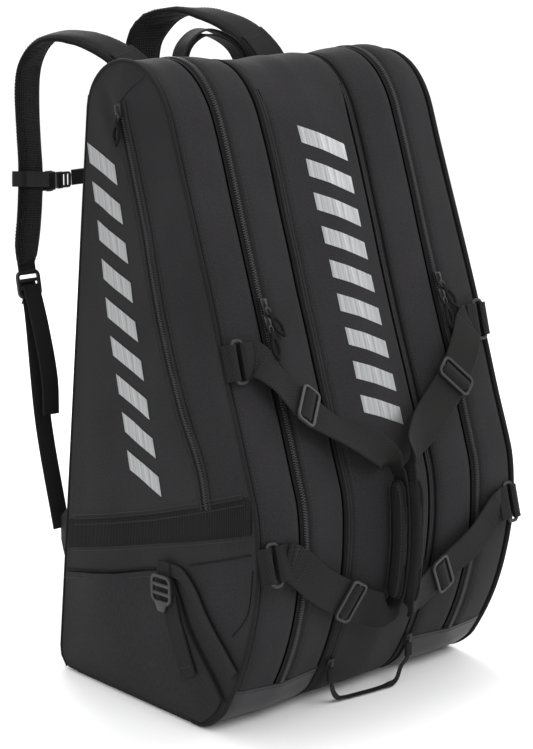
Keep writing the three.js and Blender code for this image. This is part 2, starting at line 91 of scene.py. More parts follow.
LEAN = (FRONT_END - FRONT_START).normalized()
FOOT_CURVE = bezier((-FOOT, 0), (-FOOT - 0.040, 0.055), (-BULGE, 0.140), (-BULGE, BULGE_HEIGHT))
FOOT_CURVE = FOOT_CURVE[FOOT_CURVE[:, 1] > 0.028]
PROFILE = np.concatenate([
    bezier((FOOT_START, 0), (-0.147, 0), (-0.164, 0.010), FOOT_CURVE[0], 16)[:-1],
    FOOT_CURVE[:-1],
    bezier(
        (-BULGE, BULGE_HEIGHT), (-BULGE, BULGE_HEIGHT + 0.020), FRONT_START - 0.020 * LEAN, FRONT_START,
    )[:-1],
    bezier(
        FRONT_START, FRONT_START.lerp(FRONT_END, 1 / 3), FRONT_START.lerp(FRONT_END, 2 / 3), FRONT_END,
    )[:-1],
    bezier(FRONT_END, FRONT_END + 0.045 * LEAN, (CREST_Y - 0.038, HEIGHT), (CREST_Y, HEIGHT))[:-1],
    bezier((CREST_Y, HEIGHT), (CREST_Y + 0.036, HEIGHT), BACK_TOP + Vector((-0.0036, 0.032)), BACK_TOP),
])
REACH = np.concatenate([[0], np.cumsum(np.linalg.norm(np.diff(PROFILE, axis=0), axis=1))])
LENGTH = REACH[-1]
CREST_ROW = int(PROFILE[:, 1].argmax())
BACK_LINE = np.concatenate([
    PROFILE[CREST_ROW:],
    bezier(BACK_FOOT, (BACK_FOOT[0] + 0.002, 0.010), (CORNER_Y + 0.020, 0), (CORNER_Y, 0), 20),
])


def profile_at(s):
    """Point and outward normal (y, z) of the front and top, at a length from the floor."""
    def at(length):
        return Vector((np.interp(length, REACH, PROFILE[:, 0]), np.interp(length, REACH, PROFILE[:, 1])))
    ahead = (at(min(s + 0.002, LENGTH)) - at(max(s - 0.002, 0))).normalized()
    return at(s), Vector((-ahead.y, ahead.x))


def along_at(z):
    """Length along the front from the floor up to a height."""
    return float(np.interp(z, PROFILE[: CREST_ROW + 1, 1], REACH[: CREST_ROW + 1]))


def front_y(z):
    """The front line of the side profile, at a height."""
    return float(np.interp(z, PROFILE[: CREST_ROW + 1, 1], PROFILE[: CREST_ROW + 1, 0]))


def back_y(z):
    """The back line of the side profile, at a height."""
    return float(np.interp(z, BACK_LINE[::-1, 1], BACK_LINE[::-1, 0]))


BAND_TOP = along_at(BAND_HEIGHT)
HINGE = along_at(HINGE_HEIGHT)
CREST = float(REACH[CREST_ROW])
RIGHT_FLARE = 0.003  # the right edge is stuffed fuller than the left
SAG_X = (-0.210, -0.180, -0.143, -0.076, -0.030, 0.010, 0.050, 0.090, 0.143, 0.175, 0.210)
SAG = (0.0, -0.006, -0.007, -0.006, -0.012, -0.011, -0.004, -0.003, -0.001, 0.003, 0.0)


def crown(x, s):
    """How far the cloth of the front stands out between its seams."""
    places, heights = (0, SEAM_X, ZIP_X, SIDE_PIPING_X), (0.009, 0.0025, 0.0085, 0)
    height = np.interp(min(abs(x), SIDE_PIPING_X), places, heights)
    return float(height) * ease(s / 0.120) * ease((LENGTH - s) / 0.060)


def slack(x, s):
    """Shallow waves in the cloth, the same for every piece sewn to it."""
    soft = noise.noise(Vector((x * 9, s * 6, 2.7))) * 0.0022
    pull = noise.noise(Vector((x * 26 + s * 9, s * 11, 8.1))) * 0.0009
    return (soft + pull) * ease((s - 0.02) / 0.10) * ease((LENGTH - s) / 0.08)


def sag(x, s):
    """The empty top sinks on the left and stands up on the right."""
    return float(np.interp(x, SAG_X, SAG)) * bump(s, CREST, 0.17)


def flare(x, s):
    """How far the right edge is pushed out, between the floor and the top."""
    return RIGHT_FLARE * ease((x - 0.120) / 0.080) * ease(s / 0.20) * ease((0.80 - s) / 0.25)


def skin(x, s, d=0.0):
    """A point of the front and top: x across, s along from the floor, d outward."""
    point, normal = profile_at(s)
    out = crown(x, s) + slack(x, s) + sag(x, s) + flare(x, s) * 0.8 + d
    return Vector((x + flare(x, s), point.x + normal.x * out, point.y + normal.y * out))


def placed(right, up, out, at):
    """The matrix with these three axes, at a place."""
    made = Matrix((right, up, out)).transposed().to_4x4()
    made.translation = at
    return made


def skin_frame(x, s, d=0.0):
    """Matrix of right, up and out at a place on the skin."""
    up = (skin(x, s + 0.001, d) - skin(x, s - 0.001, d)).normalized()
    right = Vector((1, 0, 0))
    return placed(right, up, right.cross(up).normalized(), skin(x, s, d))


SIDE_EDGE_X = 0.2122
SIDE_PUFF = 0.0030


def side(sign, y, z, d=0.0):
    """A point of a side panel: rounded in towards its seams, with soft folds under the top."""
    inset = min(y - front_y(z), back_y(z) - y, z * 1.4)
    full = SIDE_PUFF * ease(inset / 0.06) + 0.003 * ease(inset / 0.10) * bump(z, 0.56, 0.28)
    folds = 0.0034 * noise.noise(Vector((y * 12, z * 6, 4.0 + sign))) * ease(inset / 0.05)
    folds += 0.0010 * noise.noise(Vector((y * 26 + z * 12, z * 14, 9.0 + sign))) * ease(inset / 0.04)
    crease = -0.0060 * bump(y - 0.55 * (z - 0.70), 0.004, 0.022) * bump(z, 0.705, 0.055)
    push = flare(0.21, along_at(min(z, 0.76))) if sign > 0 else 0
    return Vector((sign * (SIDE_EDGE_X + full + folds + crease + push + d), y, z))


def back(x, z, d=0.0):
    """A point of the back panel, d out of it."""
    return Vector((x, back_y(z) + d, z))


# ---- mesh building ---------------------------------------------------------------------------
X_AXIS = Vector((1, 0, 0))
BACKWARD = Vector((0, 1, 0))


class Build:
    """Collects closed shapes, then makes them one object."""

    def __init__(self):
        self.verts, self.faces, self.uvs, self.looks = [], [], [], []

    def face(self, corners, uvs=None, look=0):
        self.faces.append(tuple(corners))
        self.uvs.extend(uvs or [(0.0, 0.0)] * len(corners))
        self.looks.append(look)

    def sweep(self, rings, closed=False, look=0):
        """A tube through rings of equal counts. An open one is closed by strips across its ends."""
        base, count = len(self.verts), len(rings[0])
        self.verts.extend(tuple(p) for ring in rings for p in ring)
        across = [0.0]
        for j in range(count):
            across.append(across[-1] + (rings[0][(j + 1) % count] - rings[0][j]).length)
        reach = 0.0
        rows = len(rings)
        for i in range(rows if closed else rows - 1):
            k = (i + 1) % rows
            step = (rings[k][0] - rings[i][0]).length
            for j in range(count):
                n = (j + 1) % count
                near, far = base + i * count, base + k * count
                corners = (near + j, near + n, far + n, far + j)
                flat = (
                    (across[j], reach), (across[j + 1], reach),
                    (across[j + 1], reach + step), (across[j], reach + step),
                )
                self.face(corners, flat, look)
            reach += step
        if not closed:
            for start in (base, base + (rows - 1) * count):
                for j in range(count // 2 - 1):
                    a, b = start + j, start + j + 1
                    c, d = start + count - 2 - j, start + count - 1 - j
                    flat = [(across[j], 0), (across[j + 1], 0), (across[j + 1], 0.003), (across[j], 0.003)]
                    self.face((a, b, c, d), flat, look)

    def slab(self, us, vs, place, thickness, look=0):
        """A sheet with a thickness: place(u, v, depth) gives its points."""
        self.sweep(
            [[place(u, v, 0.0) for u in us] + [place(u, v, -thickness) for u in reversed(us)] for v in vs],
            look=look,
        )

    def cord(self, line, radius, count=8, closed=False, look=0):
        """A round cord along a line."""
        self.sweep(cord_rings(line, radius, count, closed), closed, look)

    def ribbon(self, frames, width, thick, selvedge=0.0003):
        """Flat webbing along the frames of a route."""
        self.sweep(rings_on(frames, web_section(width, thick, selvedge)))

    def add(self, shape, matrix, look=0):
        """A copy of a (verts, faces) shape."""
        base = len(self.verts)
        self.verts.extend(tuple(matrix @ Vector(v)) for v in shape[0])
        for f in shape[1]:
            self.face([base + i for i in f], [(shape[0][i][0], shape[0][i][1]) for i in f], look)

    def piece(self, name, body, looks, stands_for=(), smooth=40, subdivide=False, ride=True):
        """Makes the object, and tells the frame its body and the nodes it replaces."""
        mesh = bpy.data.meshes.new(name)
        mesh.from_pydata(self.verts, [], self.faces)
        layer = mesh.uv_layers.new(name="Metric")
        layer.data.foreach_set("uv", np.array(self.uvs, np.float32).ravel())
        mesh.polygons.foreach_set("material_index", self.looks)
        made = bpy.data.objects.new(name, mesh)
        bpy.context.scene.collection.objects.link(made)
        for look in looks if isinstance(looks, (list, tuple)) else [looks]:
            mesh.materials.append(look)
        outward(mesh)
        mesh.polygons.foreach_set("use_smooth", [True] * len(mesh.polygons))
        mesh.set_sharp_from_angle(angle=math.radians(smooth))
        if subdivide:
            smoother(made)
        if ride:
            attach(made, body)
        if stands_for:
            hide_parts(*stands_for)
        return made


def smoother(made):
    """One level of subdivision, in the viewport as in the render."""
    modifier = made.modifiers.new("Subdivision", "SUBSURF")
    modifier.levels = modifier.render_levels = 1


def outward(mesh):
    """Turns every face of a closed mesh outward."""
    cleaned = bmesh.new()
    cleaned.from_mesh(mesh)
    bmesh.ops.recalc_face_normals(cleaned, faces=cleaned.faces)
    cleaned.to_mesh(mesh)
    cleaned.free()


def spread(low, high, step, keys=(), fine=0.0007):
    """Even places from low to high, with finer ones round each key."""
    count = max(2, round((high - low) / step))
    places = [low + (high - low) * i / count for i in range(count + 1)]
    places += [key + fine * k for key in (*keys, low, high) for k in (-2.4, -1, 0, 1, 2.4)]
    kept = []
    for place in sorted(places):
        if low <= place <= high and (not kept or place - kept[-1] > fine * 0.6):
            kept.append(place)
    return kept


def block(width, length, height, bevel, segments=2, taper=1.0):
    """A rounded box, as (verts, faces), narrower at its lower end by taper."""
    cube = bmesh.new()
    bmesh.ops.create_cube(cube, size=1)
    bmesh.ops.scale(cube, vec=(width, length, height), verts=cube.verts)
    for v in cube.verts:
        if v.co.y < 0:
            v.co.x *= taper
    bmesh.ops.bevel(cube, geom=cube.edges[:], offset=bevel, segments=segments, affect="EDGES", profile=0.6)
    shape = ([tuple(v.co) for v in cube.verts], [[v.index for v in f.verts] for f in cube.faces])
    cube.free()
    return shape


def oval(width, height, count=8, power=2.0):
    """Section points of a superellipse, counted so that end strips pair up."""
    points = []
    for i in range(count):
        angle = 2 * math.pi * (i + 0.5) / count
        c, s = math.cos(angle), math.sin(angle)
        points.append((
            math.copysign(abs(c) ** (2 / power), c) * width / 2,
            math.copysign(abs(s) ** (2 / power), s) * height / 2,
        ))
    half = count // 4
    return points[half:] + points[:half]


def rings_on(frames, section):
    """Rings of a section of (sideways, outward) points at each frame of a route."""
    made = []
    for i, (centre, sideways, normal) in enumerate(frames):
        shape = section(i / (len(frames) - 1)) if callable(section) else section
        made.append([centre + sideways * a + normal * b for a, b in shape])
    return made


def headings(line, closed=False):
    """The direction of travel at each point of a line."""
    count = len(line)
    made = []
    for i in range(count):
        before = line[i - 1] if closed or i else line[0]
        after = line[(i + 1) % count] if closed or i + 1 < count else line[i]
        made.append((after - before).normalized())
    return made


def bent(place, path, section):
    """Rings of a section carried round a bend, along (y, z) points of a place."""
    points = [Vector((0, y, z)) for y, z in path]
    rings = []
    for point, ahead in zip(points, headings(points)):
        out = X_AXIS.cross(ahead)
        rings.append([place @ (point + X_AXIS * a + out * b) for a, b in section])
    return rings


def catmull(points, per_knot):
    """A smooth line through points, evenly stepped between each two."""
    points = [Vector(p) for p in points]
    padded = [points[0] * 2 - points[1], *points, points[-1] * 2 - points[-2]]
    line = []
    for i in range(1, len(padded) - 2):
        p0, p1, p2, p3 = padded[i - 1 : i + 3]
        t0, t1 = 0.0, math.sqrt((p1 - p0).length)
        t2 = t1 + math.sqrt((p2 - p1).length)
        t3 = t2 + math.sqrt((p3 - p2).length)
        for k in range(per_knot + (i == len(padded) - 3)):
            t = t1 + (t2 - t1) * k / per_knot
            a1 = p0 * ((t1 - t) / (t1 - t0)) + p1 * ((t - t0) / (t1 - t0))
            a2 = p1 * ((t2 - t) / (t2 - t1)) + p2 * ((t - t1) / (t2 - t1))
            a3 = p2 * ((t3 - t) / (t3 - t2)) + p3 * ((t - t2) / (t3 - t2))
            b1 = a1 * ((t2 - t) / (t2 - t0)) + a2 * ((t - t0) / (t2 - t0))
            b2 = a2 * ((t3 - t) / (t3 - t1)) + a3 * ((t - t1) / (t3 - t1))
            line.append(b1 * ((t2 - t) / (t2 - t1)) + b2 * ((t - t1) / (t2 - t1)))
    return line


def route(knots, facings, per_knot=6):
    """Frames (centre, sideways, outward) along knots, each facing its own way or all one way."""
    line = catmull(knots, per_knot)
    ways = [facings] * len(knots) if isinstance(facings, Vector) else [Vector(f) for f in facings]
    frames = []
    for i, (centre, ahead) in enumerate(zip(line, headings(line))):
        knot, share = divmod(i / per_knot, 1)
        knot = int(knot)
        facing = ways[knot].lerp(ways[min(knot + 1, len(ways) - 1)], ease(share))
        sideways = ahead.cross(facing).normalized()
        frames.append((centre, sideways, sideways.cross(ahead).normalized()))
    return frames


def cord_rings(line, radius, count=8, closed=False):
    """Rings of a round cord along a line, carried along without twist."""
    sideways = (line[1] - line[0]).normalized().orthogonal().normalized()
    angles = [2 * math.pi * (k + 0.5) / count for k in range(count)]
    rings = []
    for centre, ahead in zip(line, headings(line, closed)):
        sideways = (sideways - ahead * sideways.dot(ahead)).normalized()
        up = ahead.cross(sideways)
        rings.append([centre + (sideways * math.cos(a) + up * math.sin(a)) * radius for a in angles])
    return rings


def web_section(width, thick, selvedge=0.0003):
    """Flat webbing with rounded, slightly thicker edges."""
    half = width / 2
    stops = (-half, -half + 0.0012, -half + 0.0035, -half / 3)
    heights = (0.35, 1 + selvedge / thick * 2, 1, 1)
    left = [(a, h * thick / 2) for a, h in zip(stops, heights)]
    top = left + [(-a, b) for a, b in reversed(left)]
    return top + [(a, -b) for a, b in reversed(top)]


# One stitch as (points, faces): two tips and two rings of four, drawn out to size by its matrix.
STITCH = (
    [(0, -1, 0)]
    + [(a, y, b) for y in (-0.55, 0.55) for a, b in ((1, 0), (0, 1), (-1, 0), (0, -1))]
    + [(0, 1, 0)],
    [(0, 1, 2), (0, 2, 3), (0, 3, 4), (0, 4, 1)]
    + [(i, 5 + i - 1, 5 + i % 4, i % 4 + 1) for i in range(1, 5)]
    + [(9, 6, 5), (9, 7, 6), (9, 8, 7), (9, 5, 8)],
)
STITCH_LENGTH, STITCH_GAP, THREAD_R = 0.0030, 0.0012, 0.00042


def running_length(points):
    """Length along a line up to each of its points."""
    reach = [0.0]
    for a, b in zip(points, points[1:]):
        reach.append(reach[-1] + (b - a).length)
    return reach


def stitches(build, points, facing, look=1):
    """A row of stitches along points, flat against cloth that faces one way or as a function says."""
    reach = running_length(points)
    coords = np.array([tuple(p) for p in points])
    count = int(reach[-1] / (STITCH_LENGTH + STITCH_GAP))

    def at(length):
        return Vector([np.interp(length, reach, coords[:, k]) for k in range(3)])

    for i in range(count):
        start = (i + 0.15) * reach[-1] / count
        a, b = at(start), at(start + STITCH_LENGTH)
        middle = (a + b) / 2
        ahead = (b - a).normalized()
        across = ahead.cross(facing(middle) if callable(facing) else facing).normalized()
        out = across.cross(ahead)
        build.add(STITCH, placed(across * THREAD_R, ahead * STITCH_LENGTH / 2, out * THREAD_R, middle), look)


def stitch_across(build, frame_here, reach, lift, count):
    """A row of stitches from edge to edge of a strap."""
    centre, sideways, normal = frame_here
    row = [centre + sideways * a + normal * lift for a in np.linspace(-reach, reach, count)]
    stitches(build, row, normal)


def stitch_lanes(build, frames, reach, lift):
    """Two rows of stitches along a strap, either side of its middle."""
    for lane in (-reach, reach):
        stitches(build, [c + s * lane + n * lift for c, s, n in frames], nearest_normal(frames))


def moved(place, x, y, z):
    """A place moved along its own axes."""
    return place @ Matrix.Translation((x, y, z))


def rounded_loop(width, height, radius, per_corner=5):
    """Points of a rounded rectangle, with their outward directions."""
    made = []
    corners = ((1, 1, 0), (-1, 1, 90), (-1, -1, 180), (1, -1, 270))
    for sx, sy, start in corners:
        for k in range(per_corner + 1):
            angle = math.radians(start + 90 * k / per_corner)
            way = Vector((math.cos(angle), math.sin(angle), 0))
            centre = Vector((sx * (width / 2 - radius), sy * (height / 2 - radius), 0))
            made.append((centre + way * radius, way))
    return made


def buckle_frame(build, matrix, width, height, rim, thick, bars=0, radius=0.005, look=0):
    """A moulded frame: a rounded rim, and bars across it at even spacing."""
    section = oval(rim, thick, 8, 3.2)
    middle = rounded_loop(width - rim, height - rim, radius)
    rings = [[matrix @ (p + way * a + Vector((0, 0, b))) for a, b in section] for p, way in middle]
    build.sweep(rings, closed=True, look=look)
    for i in range(bars):
        y = (i + 1) * (height - rim) / (bars + 1) - (height - rim) / 2
        ends = [Vector((x * (width / 2 - rim * 0.6), y, 0)) for x in (-1, -0.5, 0.5, 1)]
        bar = oval(rim * 0.95, thick * 0.8, 8, 3)
        build.sweep([[matrix @ (p + Vector((0, a, b))) for a, b in bar] for p in ends], look=look)


# ---- materials -------------------------------------------------------------------------------
def node(tree, kind, inputs=None, **settings):
    """A shader node with its options set, and its inputs set or linked."""
    made = tree.nodes.new("ShaderNode" + kind)
    for key, value in settings.items():
        setattr(made, key, value)
    for key, value in (inputs or {}).items():
        if isinstance(value, bpy.types.NodeSocket):
            tree.links.new(value, made.inputs[key])
        else:
            made.inputs[key].default_value = value
    return made


def calc(tree, operation, a, b=0.0, c=0.0):
    """A maths node, with a third value for the operations that take one."""
    return node(tree, "Math", {0: a, 1: b, 2: c}, operation=operation).outputs[0]


def layered(tree, *parts):
    """The sum of (value, weight) parts."""
    total = 0.0
    for value, weight in parts:
        total = calc(tree, "MULTIPLY_ADD", value, weight, total)
    return total


def wave(tree, vector, pitch, direction, distortion=0.0):
    """Ridges of a real pitch in metres; a wave texture turns once in 0.314 of its units."""
    inputs = {"Vector": vector, "Scale": math.pi / 10 / pitch, "Distortion": distortion, "Detail": 1.0}
    made = node(tree, "TexWave", inputs, wave_type="BANDS", bands_direction=direction, wave_profile="SIN")
    return made.outputs["Fac"]


def grain(tree, vector, size, detail=2.0):
    """Noise with patches of a real size in metres."""
    return node(tree, "TexNoise", {"Vector": vector, "Scale": 1 / size, "Detail": detail}).outputs["Fac"]


def mix_colour(tree, fac, a, b):
    """A colour between a and b."""
    made = node(tree, "Mix", {0: fac, 6: (*a, 1), 7: (*b, 1)}, data_type="RGBA")
    return made.outputs[2]


def ramp(tree, fac, low, high):
    """0 at low to 1 at high."""
    return node(tree, "MapRange", {0: fac, 1: low, 2: high, 3: 0.0, 4: 1.0}).outputs[0]


def place_of(tree, kind="Object"):
    """Coordinates in metres: the frame's, or with UV those of the sewn pattern."""
    return node(tree, "TexCoord").outputs[kind]


def new_look(name, roughness, metallic=0.0, gloss=0.5, **sockets):
    """A material with its node tree and its shader."""
    material = bpy.data.materials.new(name)
    material.use_nodes = True
    tree = material.node_tree
    shader = tree.nodes["Principled BSDF"]
    shader.inputs["Roughness"].default_value = roughness
    shader.inputs["Metallic"].default_value = metallic
    shader.inputs["Specular IOR Level"].default_value = gloss
    for key, value in sockets.items():
        shader.inputs[key.replace("_", " ")].default_value = value
    return material, tree, shader


def tint(tree, shader, fac, dark, light):
    """Colour between dark and light."""
    tree.links.new(mix_colour(tree, fac, dark, light), shader.inputs["Base Color"])


def scuff(tree, shader, fac, amount, least):
    """Roughness that rises by an amount from its least."""
    tree.links.new(calc(tree, "MULTIPLY_ADD", fac, amount, least), shader.inputs["Roughness"])


def relief(tree, shader, height, strength, distance):
    """Bumps of a real depth in metres."""
    made = node(tree, "Bump", {"Height": height, "Strength": strength, "Distance": distance})
    tree.links.new(made.outputs[0], shader.inputs["Normal"])


def cloth_look(name, dark, light, pitch=0.0009, metric=True):
    """Plain weave: threads crossing over and under, uneven fibres and patches worn paler."""
    made, tree, shader = new_look(name, 0.78, gloss=0.12, Sheen_Weight=0.02, Sheen_Roughness=0.45)
    flat = place_of(tree, "UV" if metric else "Object")
    if metric:
        over = calc(tree, "SUBTRACT", wave(tree, flat, pitch * 2, "X", 0.4), 0.5)
        under = calc(tree, "SUBTRACT", wave(tree, flat, pitch * 2, "Y", 0.4), 0.5)
        weave = calc(tree, "MULTIPLY_ADD", calc(tree, "MULTIPLY", over, under), 2.0, 0.5)
    else:
        cells = node(tree, "TexVoronoi", {"Vector": flat, "Scale": 1 / pitch, "Randomness": 0.5})
        weave = cells.outputs["Distance"]
    fibres = grain(tree, flat, 0.0011, 3.0)
    patches = grain(tree, place_of(tree), 0.11, 3.0)
    tone = layered(tree, (weave, 0.40), (fibres, 0.38), (patches, 0.30), (grain(tree, flat, 0.0026), 0.42))
    tint(tree, shader, ramp(tree, tone, 0.44, 0.98), dark, light)
    scuff(tree, shader, fibres, 0.25, 0.66)
    relief(tree, shader, layered(tree, (weave, 1.0), (fibres, 0.8)), 0.7, 0.00022)
    return made


def webbing_look(name, dark, light, rib=0.0017):
    """Ribbed webbing: ridges across, a fainter crossing twill, and fuzzed paler crowns."""
    made, tree, shader = new_look(name, 0.70, gloss=0.15, Sheen_Weight=0.02, Sheen_Roughness=0.4)
    flat = place_of(tree, "UV")
    ribs = wave(tree, flat, rib, "Y", 0.5)
    twill = wave(tree, flat, 0.0026, "DIAGONAL", 0.3)
    fibres = grain(tree, flat, 0.0013, 3.0)
    height = layered(tree, (ribs, 0.8), (twill, 0.35))
    tint(tree, shader, ramp(tree, layered(tree, (height, 0.6), (fibres, 0.5)), 0.30, 1.0), dark, light)
    relief(tree, shader, layered(tree, (height, 1.0), (fibres, 0.5)), 0.9, 0.0004)
    return made


def coated_look(name, dark, light):
    """Smooth coated tarpaulin with a fine leather grain and scuffs."""
    made, tree, shader = new_look(name, 0.42, gloss=0.25)
    place = place_of(tree)
    cells = node(tree, "TexVoronoi", {"Vector": place, "Scale": 900.0}).outputs["Distance"]
    scuffs = grain(tree, place, 0.030, 6.0)
    tint(tree, shader, ramp(tree, scuffs, 0.35, 0.70), dark, light)
    scuff(tree, shader, scuffs, 0.30, 0.30)
    relief(tree, shader, cells, 0.35, 0.0002)
    return made


def net_look(name, dark, light, hole=0.0030):
    """Padded air mesh: holes in rows through a pale-edged knit, laid out flat as the cloth is cut."""
    made, tree, shader = new_look(name, 0.88, gloss=0.10, Sheen_Weight=0.015)
    x, y, z = node(tree, "SeparateXYZ", {0: place_of(tree)}).outputs
    flat = node(tree, "CombineXYZ", {0: x, 1: layered(tree, (z, 1.0), (y, 0.3))}).outputs[0]
    cells = node(
        tree, "TexVoronoi", {"Vector": flat, "Scale": 1 / hole, "Randomness": 0.25}, voronoi_dimensions="2D",
    )
    knit = ramp(tree, cells.outputs["Distance"], 0.22, 0.48)
    tone = calc(tree, "MULTIPLY", knit, calc(tree, "ADD", grain(tree, flat, 0.0009), 0.5))
    tint(tree, shader, tone, dark, light)
    relief(tree, shader, knit, 0.9, 0.0008)
    return made


def loop_tape_look(name, dark, light):
    """Ribbed touch-and-close tape: upright ribs under a fuzz of loops."""
    made, tree, shader = new_look(name, 0.92, gloss=0.10, Sheen_Weight=0.02)
    flat = place_of(tree, "UV")
    tone = layered(tree, (wave(tree, flat, 0.0030, "X", 1.2), 0.5), (grain(tree, flat, 0.0011, 4.0), 0.6))
    tint(tree, shader, ramp(tree, tone, 0.3, 0.95), dark, light)
    relief(tree, shader, tone, 1.0, 0.0010)
    return made


def moulded_look(name, dark, light, roughness, metallic=0.0):
    """Moulded plastic or painted zinc, rubbed pale along its edges."""
    made, tree, shader = new_look(name, roughness, metallic, gloss=0.35)
    place = place_of(tree)
    marks = grain(tree, place, 0.004, 5.0)
    edges = ramp(tree, node(tree, "NewGeometry").outputs["Pointiness"], 0.50, 0.60)
    tint(tree, shader, calc(tree, "MULTIPLY", edges, calc(tree, "ADD", marks, 0.25)), dark, light)
    scuff(tree, shader, marks, 0.22, roughness - 0.10)
    relief(tree, shader, grain(tree, place, 0.0007), 0.25, 0.0001)
    return made


def foil_look(name, dark, light):
    """Brushed silver transfer print with bands of brighter and duller metal."""
    made, tree, shader = new_look(name, 0.40, 0.55)
    stretched = node(tree, "Mapping", {"Vector": place_of(tree, "UV"), "Scale": (1.0, 0.05, 1.0)}).outputs[0]
    hair = grain(tree, stretched, 0.0006)
    tone = layered(tree, (grain(tree, stretched, 0.0040, 4.0), 0.75), (hair, 0.35))
    tint(tree, shader, ramp(tree, tone, 0.35, 0.75), dark, light)
    relief(tree, shader, hair, 0.2, 0.0001)
    return made


def floor_look(name, dark, light):
    """A pale, faintly uneven floor."""
    made, tree, shader = new_look(name, 0.75)
    tint(tree, shader, grain(tree, place_of(tree), 0.5), dark, light)
    return made


CLOTH = cloth_look("black_polyester", (0.0045, 0.0042, 0.0046), (0.0235, 0.0222, 0.0240))
PAD_CLOTH = cloth_look("pad_polyester", (0.0040, 0.0038, 0.0040), (0.0155, 0.0150, 0.0156), metric=False)
LINING = cloth_look("lining", (0.008, 0.008, 0.009), (0.022, 0.022, 0.024), pitch=0.0006)
# Near-black: the colour of the real bound edges and cords, and also painted shade where its cords stand for
# the dark lines of seams and gutters.
BINDING_AND_SEAM_SHADE = cloth_look("edge_binding_and_seam_shade", (0.0014, 0.0014, 0.0015), (0.0075, 0.0073, 0.0076), pitch=0.0011)
PIPING = cloth_look("piping_cloth", (0.0026, 0.0025, 0.0027), (0.0140, 0.0135, 0.0142))
WEBBING = webbing_look("ribbed_webbing", (0.0024, 0.0024, 0.0023), (0.0135, 0.0133, 0.0130))
FINE_WEB = webbing_look("fine_webbing", (0.0028, 0.0028, 0.0027), (0.0140, 0.0138, 0.0134), rib=0.0012)
COATED = coated_look("coated_band", (0.0145, 0.0142, 0.0160), (0.0275, 0.0270, 0.0300))
NET = net_look("air_mesh", (0.0012, 0.0012, 0.0013), (0.0150, 0.0147, 0.0150))
LOOP_TAPE = loop_tape_look("loop_tape", (0.0025, 0.0025, 0.0025), (0.0140, 0.0137, 0.0138))
TAPE = webbing_look("zip_tape", (0.0012, 0.0012, 0.0013), (0.0050, 0.0050, 0.0052), rib=0.0008)
COIL = moulded_look("zip_coil", (0.0060, 0.0060, 0.0064), (0.050, 0.050, 0.053), 0.36)
PLASTIC = moulded_look("satin_plastic", (0.0028, 0.0028, 0.0032), (0.030, 0.030, 0.032), 0.38)
ZINC = moulded_look("painted_zinc", (0.0040, 0.0040, 0.0044), (0.034, 0.034, 0.036), 0.36, 0.3)
THREAD = moulded_look("thread", (0.0060, 0.0058, 0.0060), (0.020, 0.0195, 0.020), 0.60)
FOIL = foil_look("silver_print", (0.17, 0.175, 0.18), (0.42, 0.43, 0.43))


# ---- camera, light, floor --------------------------------------------------------------------
def make_camera():
    """The fixed view, from the front left and a little above."""
    yaw, pitch = math.radians(41.85), math.radians(12.08)
    ahead = Vector((math.sin(yaw) * math.cos(pitch), math.cos(yaw) * math.cos(pitch), -math.sin(pitch)))
    lens = bpy.data.cameras.new("camera")
    lens.lens = 93.19
    lens.sensor_width = 36
    lens.clip_start, lens.clip_end = 0.05, 50
    camera = bpy.data.objects.new("camera", lens)
    camera.location = (-1.58289, -1.78865, 0.88254)
    camera.rotation_mode = "QUATERNION"
    camera.rotation_quaternion = ahead.to_track_quat("-Z", "Y")
    bpy.context.scene.collection.objects.link(camera)
    bpy.context.scene.camera = camera


def softbox(name, place, height, width, power):
    """A soft light aimed at a height over the origin."""
    light = bpy.data.lights.new(name, "AREA")
    light.shape, light.size, light.size_y, light.energy = "RECTANGLE", width, width * 0.8, power
    made = bpy.data.objects.new(name, light)
    made.location = place
    made.rotation_mode = "QUATERNION"
    made.rotation_quaternion = (Vector((0, 0, height)) - Vector(place)).to_track_quat("-Z", "Y")
    bpy.context.scene.collection.objects.link(made)


def make_studio():
    """Lights, world and floor."""
    softbox("key", (-0.3, -2.6, 2.5), 0.35, 1.6, 42)
    softbox("side_fill", (-3.0, 0.2, 1.9), 0.5, 1.6, 3)
    softbox("top", (0.0, 0.3, 3.0), 0.4, 1.6, 18)
    softbox("right_rim", (2.4, -1.4, 1.8), 0.4, 1.0, 10)
    softbox("back_fill", (1.4, 2.8, 2.0), 0.4, 1.4, 45)
    world = bpy.data.worlds.new("studio")
    world.use_nodes = True
    world.node_tree.nodes["Background"].inputs[0].default_value = (1, 1, 1, 1)
    world.node_tree.nodes["Background"].inputs[1].default_value = 1.1
    bpy.context.scene.world = world
    bpy.context.scene.view_settings.view_transform = "Standard"
    ground = bmesh.new()
    bmesh.ops.create_grid(ground, x_segments=4, y_segments=4, size=9)
    mesh = bpy.data.meshes.new("floor")
    ground.to_mesh(mesh)
    ground.free()
    mesh.materials.append(floor_look("pale_floor", (0.92, 0.92, 0.92), (0.94, 0.94, 0.94)))
    floor = bpy.data.objects.new("floor", mesh)
    floor.location = (0, 0, -0.0005)
    bpy.context.scene.collection.objects.link(floor)


make_camera()
make_studio()

# ---- front panels ----------------------------------------------------------------------------
ROLL, ROLL_DROP = 0.0065, 0.0036
TOPSTITCH = 0.0055  # from a folded edge to its row of stitches
THREAD_LIFT = 0.0002
PUFF = 0.0015  # how far a strip of the front fills out between its edges
PANEL_THICK = 0.0026
HINGE_MERGE = 0.040  # the flap and the top panel flatten into one cloth over this length


def rolled(value, low, high):
    """How far a folded edge drops away."""
    return -ROLL_DROP * (1 - ease(min(value - low, high - value) / ROLL)) ** 1.5


